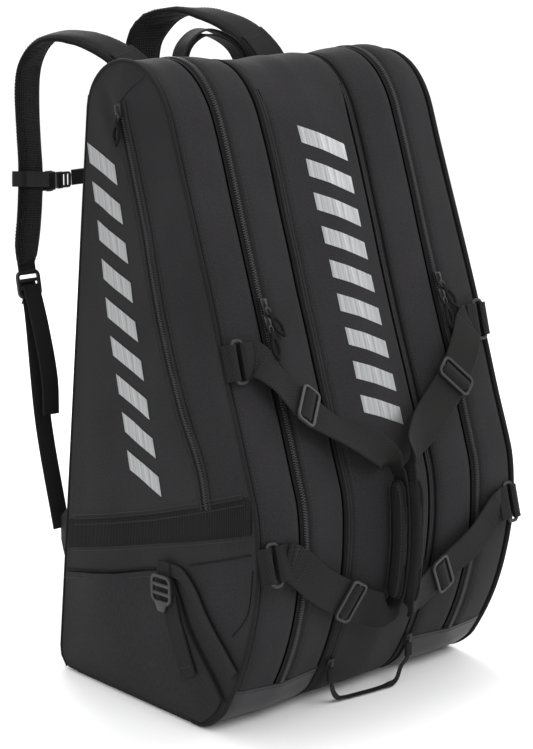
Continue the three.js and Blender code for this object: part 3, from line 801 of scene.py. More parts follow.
def front_panel(name, body, node_name, x_from, x_to, s_from, s_to, stitched=(), merge=False, ride=True):
    """A strip of the front with folded edges and sunken rows of topstitching."""
    width = x_to - x_from

    def depth(x, s):
        sunk = sum(-0.0007 * bump(x, line, 0.0016) for line in stitched)
        full = PUFF * math.sin(math.pi * (x - x_from) / width) * ease((s - BAND_TOP) / 0.05)
        if not merge:
            return rolled(x, x_from, x_to) + sunk + full
        near = ease(abs(s - HINGE) / HINGE_MERGE)
        past_flap = ease((abs(x) - FLAP_X) / 0.004)
        folded = rolled(x, x_from, x_to) * (near + (1 - near) * past_flap)
        return folded + (sunk + full) * near

    build = Build()
    columns = spread(x_from, x_to, 0.007, stitched)
    rows = spread(s_from, s_to, 0.010)
    build.slab(columns, rows, lambda x, s, d: skin(x, s, depth(x, s) + d), PANEL_THICK)
    for line in stitched:
        points = [skin(line, s, depth(line, s) + THREAD_LIFT) for s in rows[2:-2]]
        stitches(build, points, Vector((0, -1, 0.3)))
    return build.piece(name, body, [CLOTH, THREAD], [node_name], ride=ride)


def span(sign, a, b):
    """Two distances from the middle as places on the left or the right, in rising order."""
    return sorted((sign * a, sign * b))


def make_front():
    """Four strips of the front, the middle of the top, and the flap."""
    start = BAND_TOP + 0.0004
    zip_stitch = ZIP_HALF + TOPSTITCH
    for name, sign in SIDES:
        front_panel(
            f"{name}_outer_cloth", "bag", f"{name}_outer_front", *span(sign, OUTER_EDGE, ZIP_X + ZIP_HALF),
            start, LENGTH, (sign * (ZIP_X + zip_stitch), sign * (OUTER_EDGE - TOPSTITCH)),
        )
        front_panel(
            f"{name}_inner_cloth", "bag", f"{name}_inner_front", *span(sign, ZIP_X - ZIP_HALF, INNER_EDGE),
            start, LENGTH, (sign * (ZIP_X - zip_stitch), sign * (INNER_EDGE + 0.0050)),
        )
    front_panel(
        "top_middle_cloth", "bag", "top_middle_panel", -SEAM_X, SEAM_X, HINGE, LENGTH,
        (-SEAM_X + 0.0060, SEAM_X - 0.0060), merge=True,
    )
    flap = front_panel(
        "flap_cloth", "flap", "flap_panel", -FLAP_X, FLAP_X, 0.006, HINGE,
        (-FLAP_X + 0.0050, FLAP_X - 0.0050), merge=True, ride=False,
    )
    skin(0, HINGE)
    skin(0, HINGE - 0.030)
    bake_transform(flap)


def make_band():
    """The coated foot: a floor plate and an upstand on each side of the flap."""
    build = Build()
    thick = 0.003
    columns, rows = spread(-OUTER_EDGE, OUTER_EDGE, 0.03), spread(FOOT_START - 0.002, CORNER_Y - 0.001, 0.03)
    build.slab(columns, rows, lambda x, y, d: Vector((x, y, thick + d)), thick)
    seam = BAND_TOP - 0.004
    for sign in (-1, 1):
        low, high = span(sign, OUTER_EDGE, INNER_EDGE)

        def place(x, s, d, low=low, high=high):
            edge = -0.0010 * bump(s, seam, 0.0016) + 0.0009 * ease((s - 0.004) / 0.01)
            return skin(x, s, rolled(x, low, high) * 0.5 + edge + d)

        columns = spread(low, high, 0.008)
        build.slab(columns, spread(0.0015, BAND_TOP, 0.006, (seam,)), place, PANEL_THICK)
        stitches(build, [place(x, seam, THREAD_LIFT) for x in columns], Vector((0, -1, -0.3)))
    build.piece("coated_foot", "bag", [COATED, THREAD], ["base_boot"])


def make_piping():
    """Covered cord along the side seams with a near-black cord of painted shade in the gutter beside it, and
    a double fold along the middle seams, coloured near-black as painted shade lines.
    """
    rows = spread(0.004, LENGTH - 0.002, 0.008)
    along_floor = np.linspace(CORNER_Y - 0.006, FOOT_START, 24)
    for name, sign in SIDES:
        build = Build()
        build.cord([Vector((sign * SIDE_PIPING_X, y, 0.0018)) for y in along_floor], 0.0016)
        line = [skin(sign * SIDE_PIPING_X, s, -0.0008) for s in rows if s > 0.004]
        for point in line:
            point.z = max(point.z, PIPING_R + 0.0002)
        build.cord(line, PIPING_R, 10)
        # A near-black cord sunk in the gutter beside the piping: painted shade, not a part of the bag.
        painted_gutter_shade = [skin(sign * (SIDE_PIPING_X - 0.0058), s, -0.0030) for s in rows if s > 0.03]
        build.cord(painted_gutter_shade, 0.0015, look=1)
        build.piece(f"{name}_side_piping", "bag", [PIPING, BINDING_AND_SEAM_SHADE], [f"side_piping_{name}"])

        build = Build()
        # The double fold is real; its cords are near-black as painted shade lines along the seam.
        for x, size, depth in ((0.0765, 0.0019, -0.0009), (0.0727, 0.0013, -0.0016)):
            build.cord([skin(sign * x, s, depth) for s in rows if s > 0.02], size)
        build.piece(f"{name}_seam_piping", "bag", BINDING_AND_SEAM_SHADE, [f"seam_piping_{name}"])


def make_flap_zips():
    """The flap's zip runs under a pair of narrow storm strips that meet over it."""
    rows = spread(0.010, HINGE, 0.010)
    for name, sign in SIDES:
        build = Build()
        low, high = span(sign, 0.0652, 0.0718)
        build.slab(spread(low, high, 0.004), rows, lambda x, s, d: skin(x, s, -0.0026 + d), 0.0012)
        build.piece(f"{name}_flap_tape", "bag", TAPE, [f"flap_zipper_{name}"])
        build = Build()
        for a, b in ((0.0650, 0.0678), (0.0684, 0.0715)):
            low, high = span(sign, a, b)

            def place(x, s, d, middle=(low + high) / 2):
                return skin(x, s, -0.0004 - (abs(x - middle) / 0.0016) ** 2 * 0.0007 + d)

            build.slab(spread(low, high, 0.0008, fine=0.0003), rows, place, 0.0012)
        build.piece(f"{name}_storm_strips", "bag", CLOTH)


# One tooth of the coil as (points, faces): a base and a smaller top.
TOOTH = (
    [(-1, -1, 0), (1, -1, 0), (1, 1, 0), (-1, 1, 0)]
    + [(-0.6, -0.55, 1), (0.8, -0.55, 1), (0.8, 0.55, 1), (-0.6, 0.55, 1)],
    [(3, 2, 1, 0), (4, 5, 6, 7), (0, 1, 5, 4), (1, 2, 6, 5), (2, 3, 7, 6), (3, 0, 4, 7)],
)
TOOTH_PITCH = 0.0030


def make_zip(name, frame_at, length, node_name, half=0.0078):
    """Tape and coil: frame_at(s, x, d) gives the matrix of a place on the zip."""
    build = Build()
    columns = spread(-half, half, 0.004, (-0.0036, 0.0036), fine=0.0004)

    def place(x, s, d):
        ridge = 0.0006 * (1 - ease((abs(x) - 0.0024) / 0.0014))
        return frame_at(s, x, -0.0014 + ridge + d).translation

    build.slab(columns, spread(0, length, 0.009), place, 0.0010)
    build.piece(f"{name}_tape", "bag", TAPE, [node_name])
    teeth = Build()
    count = int(length / TOOTH_PITCH)
    for i in range(count):
        for sign in (-1, 1):
            s = (i + (0.25 if sign > 0 else 0.75)) * length / count
            shape = Matrix.Diagonal((-sign * 0.0019, 0.00062, 0.0011, 1))
            teeth.add(TOOTH, frame_at(s, sign * 0.0013, -0.0006) @ shape)
    teeth.piece(f"{name}_coil", "bag", COIL)


def make_front_zips():
    """The zips of the left and the right compartment, from the band to the back."""
    start = BAND_TOP + 0.0006
    for name, sign in SIDES:
        def frame_at(s, x, d, sign=sign):
            return skin_frame(sign * ZIP_X + x, start + s, d)
        make_zip(f"{name}_zip", frame_at, LENGTH - 0.006 - start, f"{name}_zipper")


# ---- sliders and pullers ---------------------------------------------------------------------
# A slider's bridge from its mouth to its tail, as (along, outward) points.
BRIDGE = (
    (0.0062, 0.0048), (0.0058, 0.0066), (0.0030, 0.0076),
    (-0.0010, 0.0076), (-0.0040, 0.0066), (-0.0046, 0.0048),
)
PULLER_PIVOT = Matrix.Translation((0, -0.004, 0))
SPLAY = {"upper": math.radians(28), "lower": 0.06}
SLIDER_HEIGHT = {"upper": 0.496, "lower": 0.476}
FLAP_SLIDER_X, FLAP_SLIDER_HEIGHT, PULL_LOOP_HEIGHT = 0.0665, 0.064, 0.0535


def slider_shape(build, place):
    """A die-cast slider: tapered body, raised diamond and a bridge for the puller."""
    build.add(block(0.0104, 0.0160, 0.0036, 0.0012, taper=0.62), moved(place, 0, 0, 0.0030))
    build.add(block(0.0064, 0.0100, 0.0014, 0.0006, taper=0.7), moved(place, 0, 0.001, 0.0050))
    build.sweep(bent(place, BRIDGE, oval(0.0030, 0.0012, 8, 3)))


def puller_shape(build, place, length=0.030):
    """A wire eye, then a cord that widens into a teardrop loop with a moulded point."""
    level = 0.0066
    turns = [2 * math.pi * k / 14 for k in range(14)]
    eye = [place @ Vector((0.0028 * math.sin(t), -0.0035 + 0.0048 * math.cos(t), level)) for t in turns]
    build.cord(eye, 0.0008, 6, closed=True)
    level -= 0.0002
    outline = []
    for k in range(32):
        t = 2 * math.pi * k / 32
        down = (1 - math.cos(t)) / 2
        wide = 0.0014 + 0.0034 * ease(down / 0.62) * (1 - 0.75 * ease((down - 0.66) / 0.34))
        across = math.copysign(abs(math.sin(t)) ** 0.5, math.sin(t)) * wide
        outline.append(place @ Vector((across, -0.0070 - length * down, level)))
    build.cord(outline, 0.0021, 8, closed=True, look=1)
    build.add(block(0.0064, 0.0080, 0.0044, 0.0016), moved(place, 0, -0.0110, level), 1)
    point = block(0.0056, 0.0070, 0.0042, 0.0017, taper=0.6)
    build.add(point, moved(place, 0, -0.0065 - length, level), 1)


def make_slider(name, body, stands_for, place):
    """A slider as a piece of its own."""
    build = Build()
    slider_shape(build, place)
    build.piece(name, body, ZINC, [stands_for])


def make_puller(name, body, place, length=0.030):
    """A puller as a piece of its own."""
    build = Build()
    puller_shape(build, place, length)
    build.piece(name, body, [ZINC, BINDING_AND_SEAM_SHADE], [body])


def make_sliders():
    """Two sliders with pullers on each compartment zip, and one slider on each flap zip."""
    for name, sign in SIDES:
        for level, height in SLIDER_HEIGHT.items():
            place = skin_frame(sign * ZIP_X, along_at(height))
            slider, puller = f"{name}_{level}_slider", f"{name}_{level}_puller"
            make_slider(f"{name}_{level}_zip_slider", slider, slider, place)
            turn = Matrix.Rotation(SPLAY[level], 4, "Z")
            make_puller(f"{name}_{level}_zip_puller", puller, place @ PULLER_PIVOT @ turn)
        flap_place = skin_frame(sign * FLAP_SLIDER_X, along_at(FLAP_SLIDER_HEIGHT), 0.0010)
        make_slider(f"{name}_flap_slider", "flap_sliders", f"flap_slider_{name}", flap_place)


def make_pull_loop():
    """The ribbon joining the two flap sliders, folded where it meets the floor in front of the foot."""
    y, z = skin(0, along_at(PULL_LOOP_HEIGHT), 0.006).yz
    front, slant = (0, -1, 0.1), (0, -0.15, 1)
    rows = [
        (-FLAP_SLIDER_X, y, z, front), (-0.062, y - 0.001, z - 0.010, front), (-0.056, -0.2010, 0.030, front),
        (-0.042, -0.1940, 0.0100, front), (-0.028, -0.1920, 0.0044, slant), (0.000, -0.1950, 0.0034, slant),
        (0.034, -0.1985, 0.0038, slant), (0.054, -0.2005, 0.0068, front), (0.061, -0.2040, 0.026, front),
        (0.064, y - 0.001, z - 0.010, front), (FLAP_SLIDER_X, y, z, front),
    ]
    build = Build()
    frames = route([row[:3] for row in rows], [row[3] for row in rows])
    build.ribbon(frames, 0.0072, 0.0014, 0.0001)
    for end in (frames[0], frames[-1]):
        place = Matrix.Translation(end[0] + Vector((0, -0.0008, 0.001)))
        build.add(block(0.0095, 0.0044, 0.0170, 0.0012), place)
    build.piece("flap_pull_loop", "pull_loop", FINE_WEB, ["pull_loop"])


# ---- shell sides, back and inside ------------------------------------------------------------
def shares(count):
    """Places from 0 to 1, closer together at both ends."""
    return [0.5 - 0.5 * math.cos(math.pi * i / count) for i in range(count + 1)]


def upright(build, place, inset, z_low, z_high, thickness, columns, rows):
    """A panel bounded by the front and the back line: place(y, z, d)."""
    def at(u, v, d):
        z = z_low + (z_high - z_low) * v
        front, rear = front_y(z) + inset, back_y(z) - inset
        return place(front + (rear - front) * u, z, d)
    build.slab(shares(columns), shares(rows), at, thickness)


def make_side_panels():
    """The side panels, and the lined walls between the compartments."""
    for name, sign in SIDES:
        def outside(y, z, d, sign=sign):
            return side(sign, y, z, d)

        def inside(y, z, d, sign=sign):
            return Vector((sign * 0.0735 - d, y, z))

        build = Build()
        upright(build, outside, 0.0015, 0.002, HEIGHT - 0.0015, PANEL_THICK, 36, 60)
        build.piece(f"{name}_side_cloth", "bag", CLOTH, [f"{name}_side_panel"], subdivide=True)
        build = Build()
        upright(build, inside, 0.014, 0.006, HEIGHT - 0.014, 0.002, 10, 24)
        build.piece(f"{name}_compartment_wall", "bag", LINING, [f"{name}_divider"])


def make_back():
    """The back's firm panel, its bound edges and the two seams that hold the straps."""
    half = 0.2095
    build = Build()
    rows = [0.006 + (BACK_TOP[1] + 0.008) * v for v in shares(40)]

    def place(x, z, d):
        edge = -0.0030 * (1 - ease((half - abs(x)) / 0.010))
        return back(x, z, edge + 0.0004 + d)

    build.slab(spread(-half, half, 0.012), rows, place, 0.008)
    for z in (0.098, 0.104, 0.652, 0.658):
        stitches(build, [back(x, z, 0.0006) for x in np.linspace(-0.200, 0.200, 60)], BACKWARD)
    build.piece("back_cloth", "bag", [CLOTH, THREAD], ["back_panel"])
    build = Build()
    heights = np.linspace(0.0030, BACK_TOP[1] + 0.012, 60)
    for x in (-0.2105, 0.2105):
        build.cord([back(x, z, 0.0006) for z in heights], 0.0026)
    for z in (0.101, 0.655):
        build.cord([back(x, z, -0.0006) for x in np.linspace(-0.208, 0.208, 40)], 0.0019)
    build.piece("back_seams", "bag", BINDING_AND_SEAM_SHADE)


def remeshed(made, voxel, smoothing):
    """Rebuilds a piece as an even mesh, then lets it settle."""
    modifier = made.modifiers.new("Remesh", "REMESH")
    modifier.mode, modifier.voxel_size = "VOXEL", voxel
    settle(made, smoothing)
    mesh = bpy.data.meshes.new_from_object(made.evaluated_get(bpy.context.evaluated_depsgraph_get()))
    made.modifiers.clear()
    made.data = mesh


def settle(made, iterations):
    """Smooths a mesh for as long as its modifier stays."""
    modifier = made.modifiers.new("Smooth", "SMOOTH")
    modifier.factor, modifier.iterations = 0.5, iterations


def inflate(made, voxel, cap, smoothing=3):
    """Blows the closed shape up as cloth, moving no point further than cap, then smooths it."""
    remeshed(made, voxel, smoothing)
    rest = np.empty(len(made.data.vertices) * 3)
    full = np.empty_like(rest)
    made.data.vertices.foreach_get("co", rest)
    cloth = made.modifiers.new("Cloth", "CLOTH").settings
    cloth.use_pressure, cloth.uniform_pressure_force = True, 4.0
    cloth.effector_weights.gravity = 0
    cloth.quality = 4
    for step in range(1, 21):
        bpy.context.scene.frame_set(step)
    made.evaluated_get(bpy.context.evaluated_depsgraph_get()).data.vertices.foreach_get("co", full)
    travel = (full - rest).reshape(-1, 3)
    length = np.maximum(np.linalg.norm(travel, axis=1, keepdims=True), 1e-9)
    made.modifiers.clear()
    made.data.vertices.foreach_set("co", rest + (travel * np.minimum(1, cap / length)).ravel())
    bpy.context.scene.frame_set(1)
    made.data.polygons.foreach_set("use_smooth", [True] * len(made.data.polygons))
    settle(made, 3)
    smoother(made)


def make_back_cushions():
    """Two long cushions either side of an air channel, each sewn into three by cross channels."""
    middle, width = 0.092, 0.140
    for name, sign in SIDES:
        build = Build()
        for low, high in ((0.118, 0.272), (0.284, 0.450), (0.462, 0.636)):
            def place(u, z, d, low=low, high=high, sign=sign):
                """Depth 0 is the outer face and anything else the inner one."""
                end = min(z - low, high - z)
                corner = 0.010 * (1 - ease(end / 0.014 + 0.1))
                x = sign * (middle + (width - 2 * corner) * (u - 0.5))
                edge = min(u, 1 - u) * width
                full = 0.015 * ease(edge / 0.050 + 0.12) * ease(end / 0.050 + 0.12)
                return back(x, z, 0.0030 + full if d == 0.0 else -0.002)

            build.slab(shares(12), [low + (high - low) * v for v in shares(12)], place, 1.0)
        made = build.piece(f"{name}_back_cushion", "bag", NET)
        inflate(made, 0.0050, 0.0025, smoothing=6)


# ---- handles ---------------------------------------------------------------------------------
# Heights, and how far out of the front (D) each part lies.
RING_X, RING_UPPER, RING_LOWER, RING_D = 0.190, 0.441, 0.222, 0.008
STRAP_X, GRIP_D = 0.0028, 0.025
GRIP_THICK, GRIP_TOP, GRIP_BOTTOM = 0.011, 0.283, 0.149
GRIP_LIFT = {-1: -0.009, 1: 0.002}  # the two halves of the grip lie staggered
GRIP_HALVES = {-1: (STRAP_X + 0.0026, 0.025), 1: (0.0004, 0.031)}  # inner face and width
OUT = (0, 0, 1)
# How webbing folds, as (along, outward) points: back round a ring, over a glide, and into the side seam.
TURN_BACK = (
    (-0.0135, 0.0024), (-0.004, 0.0036), (0.0, 0.0038), (0.0034, 0.0020), (0.0034, -0.0020),
    (0.0, -0.0034), (-0.004, -0.0032), (-0.024, -0.0028),
)
HUMP = (
    (-0.0125, -0.0036), (-0.0085, -0.0020), (-0.0050, 0.0012), (0.0, 0.0032),
    (0.0050, 0.0012), (0.0085, -0.0020), (0.0125, -0.0036),
)
TAB_LOOP = (
    (0.0105, -0.0075), (0.0050, -0.0044), (0.0, -0.0034), (-0.0032, -0.0016), (-0.0032, 0.0018),
    (0.0, 0.0034), (0.0050, 0.0022), (0.0110, -0.0050),
)


def front_knot(x, z, d, facing):
    """A place over the front, and a facing given as across, along and out of the skin."""
    place = skin_frame(x, along_at(z), d)
    return place.translation, place.to_3x3() @ Vector(facing)


def on_strap(at, along, facing):
    """The matrix of a place on a strap that runs along and faces outward."""
    sideways = along.cross(facing).normalized()
    return placed(sideways, along.normalized(), sideways.cross(along).normalized(), at)


def handle_knots(sign):
    """The webbing's way from the upper ring through the grip to the lower ring."""
    left = sign < 0
    turned, half = (sign, 0, 0), (sign * 0.5, 0.5 if left else 0.0, 1)
    tip = 0.75 if left else 0.2  # the upper stretch leans back, the left one more
    tipped = (0, tip, 1)
    grip_d = GRIP_D + GRIP_LIFT[sign]
    rows = [
        (RING_X - 0.011, RING_UPPER, RING_D, OUT), (RING_X - 0.019, RING_UPPER - 0.003, RING_D + 0.002, OUT),
        (0.154, 0.416, 0.014, tipped), (0.122, 0.380, 0.015, (0, tip / 2, 1)),
        (0.072, 0.344, 0.019, tipped), (0.027, 0.316, 0.022, half),
        (STRAP_X + 0.003, 0.294, grip_d, turned), (STRAP_X, 0.285, grip_d, turned),
        (STRAP_X, 0.212, grip_d, turned), (STRAP_X + 0.0006, 0.150, grip_d, turned),
        (STRAP_X + 0.005, 0.140, grip_d, turned), (0.024, 0.138, 0.021, half), (0.047, 0.144, 0.017, OUT),
        (0.078, 0.158, 0.015, OUT), (0.130, 0.188, 0.012, OUT),
        (RING_X - 0.021, RING_LOWER - 0.003, RING_D + 0.002, OUT), (RING_X - 0.011, RING_LOWER, RING_D, OUT),
    ]
    return [front_knot(sign * x, z, d, facing) for x, z, d, facing in rows]


def ring_places(sign):
    """Matrices of the upper and the lower ring, both lying along the line between them."""
    upper, lower = (skin(sign * RING_X, along_at(z), RING_D) for z in (RING_UPPER, RING_LOWER))
    bar = (upper - lower).normalized()
    facing = Vector((0, -LEAN.y, LEAN.x))
    facing = facing - bar * facing.dot(bar)
    return [on_strap(at, X_AXIS * sign, facing) for at in (upper, lower)]


def make_handle(name, sign):
    """Webbing folded back round both rings, two glides on it, and stitching beside each ring."""
    knots = handle_knots(sign)
    frames = route([at for at, _ in knots], [facing for _, facing in knots], 8)

    def section(share):
        """Full width at the rings, folded narrower where it runs through the grip."""
        folded = ease(bump(share, 0.5, 0.25) * 1.8)
        return web_section(WEB_WIDTH - 0.022 * folded, 0.0019 + 0.0008 * folded)

    build = Build()
    build.sweep(rings_on(frames, section))
    body = f"{name}_handle"
    places = ring_places(sign)
    for place in places:
        inner = moved(place, 0, -0.0025, 0)
        build.sweep(bent(inner, TURN_BACK, web_section(*FOLDED_WEB)))
    for index, spot in ((3, "upper"), (13, "lower")):
        at, facing = knots[index]
        along = knots[index + 1][0] - knots[index - 1][0]
        place = moved(on_strap(at, along, facing), 0, 0, 0.0046)
        build.sweep(bent(place, HUMP, web_section(WEB_WIDTH * 0.96, 0.0017)))
        glide = Build()
        buckle_frame(glide, place, 0.052, 0.028, 0.0040, 0.0042, bars=1, radius=0.0055)
        glide.piece(f"{name}_{spot}_glide", body, PLASTIC, [f"{name}_{spot}_adjuster"])
    for edge in (6, len(frames) - 12):
        for frame_here in (frames[edge], frames[edge + 4]):
            stitch_across(build, frame_here, 0.019, 0.0012, 12)
    looks = [WEBBING, THREAD]
    build.piece(f"{name}_handle_strap", body, looks, [f"{name}_handle_webbing"], smooth=60)

    rings = Build()
    for place in places:
        buckle_frame(rings, moved(place, 0, 0.005, 0), 0.052, 0.0185, 0.0042, 0.0044)
    ring_nodes = [f"{name}_upper_ring", f"{name}_lower_ring"]
    rings.piece(f"{name}_strap_rings", f"{name}_rings", PLASTIC, ring_nodes)


def make_ring_tabs():
    """Short webbing loops that hold the rings to the side seams."""
    for name, sign in SIDES:
        build = Build()
        for place in ring_places(sign):
            outer = moved(place, 0, 0.012, 0)
            build.sweep(bent(outer, TAB_LOOP, web_section(*FOLDED_WEB)))
        build.piece(f"{name}_ring_tabs", "bag", WEBBING, smooth=60)


def make_grip(name, sign):
    """One half of the hand grip: foam under cloth, with a bound and stitched edge."""
    low, high = along_at(GRIP_BOTTOM), along_at(GRIP_TOP)
    inner_x, width = GRIP_HALVES[sign]
    lift = GRIP_D + GRIP_LIFT[sign]
    build = Build()

    def place(w, s, d):
        """w runs across the grip; depth 0 is its outer face and anything else its inner one."""
        end = min(s - low, high - s)
        half = width / 2 - 0.0008 - 0.005 * (1 - ease(end / 0.010))
        rounded = ease(min(end, (1 - abs(w)) * half) / 0.007 + 0.25)
        x = inner_x + (0.0035 + (GRIP_THICK - 0.005) * rounded if d == 0.0 else 0.0)
        return skin(0, s, lift + w * half) + X_AXIS * (sign * x)

    across = [2 * u - 1 for u in shares(12)]
    build.slab(across, [low + (high - low) * v for v in shares(26)], place, 1.0)
    grip = build.piece(f"{name}_grip", f"{name}_handle", PAD_CLOTH, [f"{name}_grip_pad"])
    inflate(grip, 0.0035, 0.0012)

    middle, reach = (low + high) / 2, (high - low) / 2
    edge, inner = [], []
    for k in range(64):
        angle = 2 * math.pi * k / 64
        w, along = (math.copysign(abs(part) ** 0.22, part) for part in (math.cos(angle), math.sin(angle)))
        rim = skin(0, middle + along * reach, lift + w * width / 2)
        edge.append(rim + X_AXIS * (sign * (inner_x + 0.0048)))
        near = skin(0, middle + along * reach * 0.93, lift + w * width / 2 * 0.70)
        inner.append(near + X_AXIS * (sign * (inner_x + GRIP_THICK - 0.0002)))
    trim = Build()
    trim.cord(hug(surface_of(grip), edge, True), 0.0021, closed=True)
    stitches(trim, inner + inner[:1], X_AXIS * sign)
    trim.piece(f"{name}_grip_binding", f"{name}_handle", [BINDING_AND_SEAM_SHADE, THREAD])


# ---- shoulder straps -------------------------------------------------------------------------
PAD_WIDTH = 0.064
STRAPS = {
    "left": {
        "pad": [
            (-0.118, 0.066, 0.704), (-0.120, 0.068, 0.738), (-0.134, 0.096, 0.772), (-0.156, 0.142, 0.790),
            (-0.174, 0.184, 0.788), (-0.184, 0.211, 0.758), (-0.185, 0.218, 0.700), (-0.186, 0.213, 0.614),
            (-0.202, 0.204, 0.506),
        ],
        "twist": 0.50,
        "tab": (-0.199, 0.146, 0.178),
        "sternum": [(-0.186, 0.230, 0.610), (-0.158, 0.240, 0.606)],
    },
    "right": {
        "pad": [
            (0.095, 0.066, 0.704), (0.093, 0.068, 0.742), (0.078, 0.098, 0.789), (0.054, 0.142, 0.813),
            (0.027, 0.184, 0.817), (0.006, 0.216, 0.792), (0.002, 0.228, 0.733), (0.020, 0.225, 0.614),
            (0.062, 0.206, 0.506),
        ],
        "twist": 0.0,
        "tab": (0.192, 0.146, 0.178),
        "sternum": [(0.006, 0.241, 0.616), (-0.104, 0.239, 0.608)],
    },
}
def pad_frames(strap):
    """Frames down the middle of a shoulder pad, twisting as it hangs free of the bag."""
    points = [Vector(p) for p in strap["pad"]]
    facings = []
    for i, ahead in enumerate(headings(points)):
        facing = X_AXIS.cross(ahead)
        facing.x -= strap["twist"] * ease((i / (len(points) - 1) - 0.3) / 0.4)
        facings.append(facing)
    return route(points, facings, 7)


def pad_section(share):
    """Narrower at the root and rounded off at the free end."""
    width = PAD_WIDTH - 0.0016 - 0.010 * (1 - ease(share / 0.10)) - 0.016 * (1 - ease((1 - share) / 0.03))
    return oval(width, 0.0095, 20, 3.4)


def make_shoulder_strap(name):
    """A foam pad, cloth outside and net inside, with bound and stitched edges."""
    strap = STRAPS[name]
    body = f"{name}_shoulder_strap"
    frames = pad_frames(strap)
    root = Vector(strap["pad"][0])

    def bend(made):
        """Bakes the piece's placement into its mesh."""
        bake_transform(made)

    build = Build()
    build.sweep(rings_on(frames, pad_section))
    looks, stands_for = [PAD_CLOTH, NET], [f"shoulder_pad_{name}"]
    pad = build.piece(f"{name}_shoulder_pad", body, looks, stands_for, ride=False)
    inflate(pad, 0.0050, 0.0022)
    facing = nearest_normal(frames)
    for face in pad.data.polygons:
        face.material_index = int(facing(face.center).dot(face.normal) < -0.35)
    bend(pad)

    trim = Build()
    surface = surface_of(pad)
    for edge in (-1, 1):
        line, row = [], []
        for i, (centre, sideways, normal) in enumerate(frames):
            reach = max(a for a, _ in pad_section(i / (len(frames) - 1)))
            line.append(centre + sideways * edge * (reach + 0.0002) - normal * 0.0006)
            row.append(seat(surface, centre + sideways * edge * (reach - 0.0075), normal))
        trim.cord(hug(surface, line), 0.0026)
        stitches(trim, row, facing)
    bend(trim.piece(f"{name}_pad_binding", body, [BINDING_AND_SEAM_SHADE, THREAD], ride=False))

    make_strap_root(name, frames, surface)
    make_lower_strap(name, strap, body, frames)
    make_sternum_strap(name, strap, body, frames)


def nearest_normal(frames):
    """A function that gives the normal of the frame nearest to a point."""
    return lambda point: min(frames, key=lambda f: (f[0] - point).length_squared)[2]


def surface_of(made):
    """A tree of the finished surface, to seat trim on."""
    return BVHTree.FromObject(made, bpy.context.evaluated_depsgraph_get())


def hug(surface, points, closed=False):
    """The points moved onto the surface nearest to them, as one smooth line."""
    line = [surface.find_nearest(p)[0] for p in points]
    count = len(line)
    for _ in range(4):
        shifted = [line[i - 1] if closed or i else line[0] for i in range(count)]
        ahead = [line[(i + 1) % count] if closed or i + 1 < count else line[-1] for i in range(count)]
        line = [(a + p * 2 + b) / 4 for a, p, b in zip(shifted, line, ahead)]
    return line


def seat(surface, point, normal, lift=0.0002):
    """The point dropped onto a surface along a normal."""
    hit = surface.ray_cast(point + normal * 0.025, -normal)[0]
    return (hit or point) + normal * lift


def make_strap_root(name, frames, surface):
    """A webbing patch sewn with a box of stitches where the pad leaves the bag."""
    build = Build()
    centre, across, _ = frames[0]
    x = centre.x
    out = Vector((0, 1, 0.11)).normalized()
    foot = [(back(x, z, d), across, out) for z, d in ((0.662, 0.0012), (0.678, 0.0016), (0.690, 0.0085))]
    patch = foot + [(seat(surface, c, n, 0.0007), s, n) for c, s, n in frames[2:15]]
    build.ribbon(patch, 0.046, 0.0014)
    for lane in (-0.019, 0.019):
        stitches(build, [c + s * lane + n * 0.0009 for c, s, n in patch], nearest_normal(frames))
    for index in (1, 5, 10, 14):
        stitch_across(build, patch[index], 0.019, 0.0009, 8)
    cover = ((0.682, 0.004), (0.687, 0.011), (0.694, 0.016), (0.704, 0.017), (0.712, 0.016))
    build.sweep([
        [back(x + a, z, b + thick / 2 - 0.002) for a, b in oval(0.058, thick, 16, 4)] for z, thick in cover
    ])
    build.piece(f"{name}_strap_root", "bag", [WEBBING, THREAD])


def make_lower_strap(name, strap, body, frames):
    """The ladder lock at the pad's free end, and the webbing from the wing tab through it."""
    end, tab = Vector(strap["pad"][-1]), Vector(strap["tab"])
    down = (tab - end).normalized()
    lock_at = end + down * 0.022
    lock = on_strap(lock_at, down, BACKWARD)
    build = Build()
    buckle_frame(build, lock, 0.036, 0.036, 0.0050, 0.0042, bars=2, radius=0.006)
    build.add(block(0.026, 0.008, 0.0035, 0.0012, taper=0.7), moved(lock, 0, 0.020, 0.0030))
    build.piece(f"{name}_ladder_lock", body, PLASTIC, [f"ladder_lock_{name}"])

    build = Build()
    middle = end.lerp(tab, 0.6) + BACKWARD * 0.009
    lower = [lock_at - down * 0.004 + BACKWARD * 0.004, lock_at + down * 0.022, middle, tab]
    build.ribbon(route(lower, BACKWARD, 9), *LOWER_WEB)
    tail = [lock_at + down * far + Vector((x, y, 0)) for far, x, y in (
        (0, 0, -0.004), (0.050, 0.002, -0.010), (0.120, 0.004, -0.012), (0.165, 0.003, -0.006))]
    build.ribbon(route(tail, BACKWARD), *LOWER_WEB)
    holder = [frames[-1][0] - down * 0.018, lock_at - down * 0.012]
    build.ribbon(route(holder, BACKWARD, 3), 0.026, 0.0034)
    build.piece(f"{name}_lower_strap", body, FINE_WEB, [f"lower_webbing_{name}"], smooth=60)


def make_sternum_strap(name, strap, body, frames):
    """Half of the chest strap, and the elastic band that holds it to the pad."""
    near, far = (Vector(p) for p in strap["sternum"])
    middle = near.lerp(far, 0.5) + Vector((0, 0.001, -0.002))
    build = Build()
    build.ribbon(route([near, middle, far], BACKWARD, 5), 0.020, 0.0015)
    centre, sideways, normal = min(frames, key=lambda f: (f[0] - near).length)
    around = Matrix((sideways, normal, sideways.cross(normal))).transposed()
    section = oval(0.0018, 0.020, 8, 4)
    build.sweep(
        [[centre + around @ (p + way * a + Vector((0, 0, b))) for a, b in section]
         for p, way in rounded_loop(PAD_WIDTH + 0.004, 0.0185, 0.006)],
        closed=True,
    )
    build.piece(f"{name}_sternum_strap", body, FINE_WEB, [f"sternum_webbing_{name}"], smooth=60)


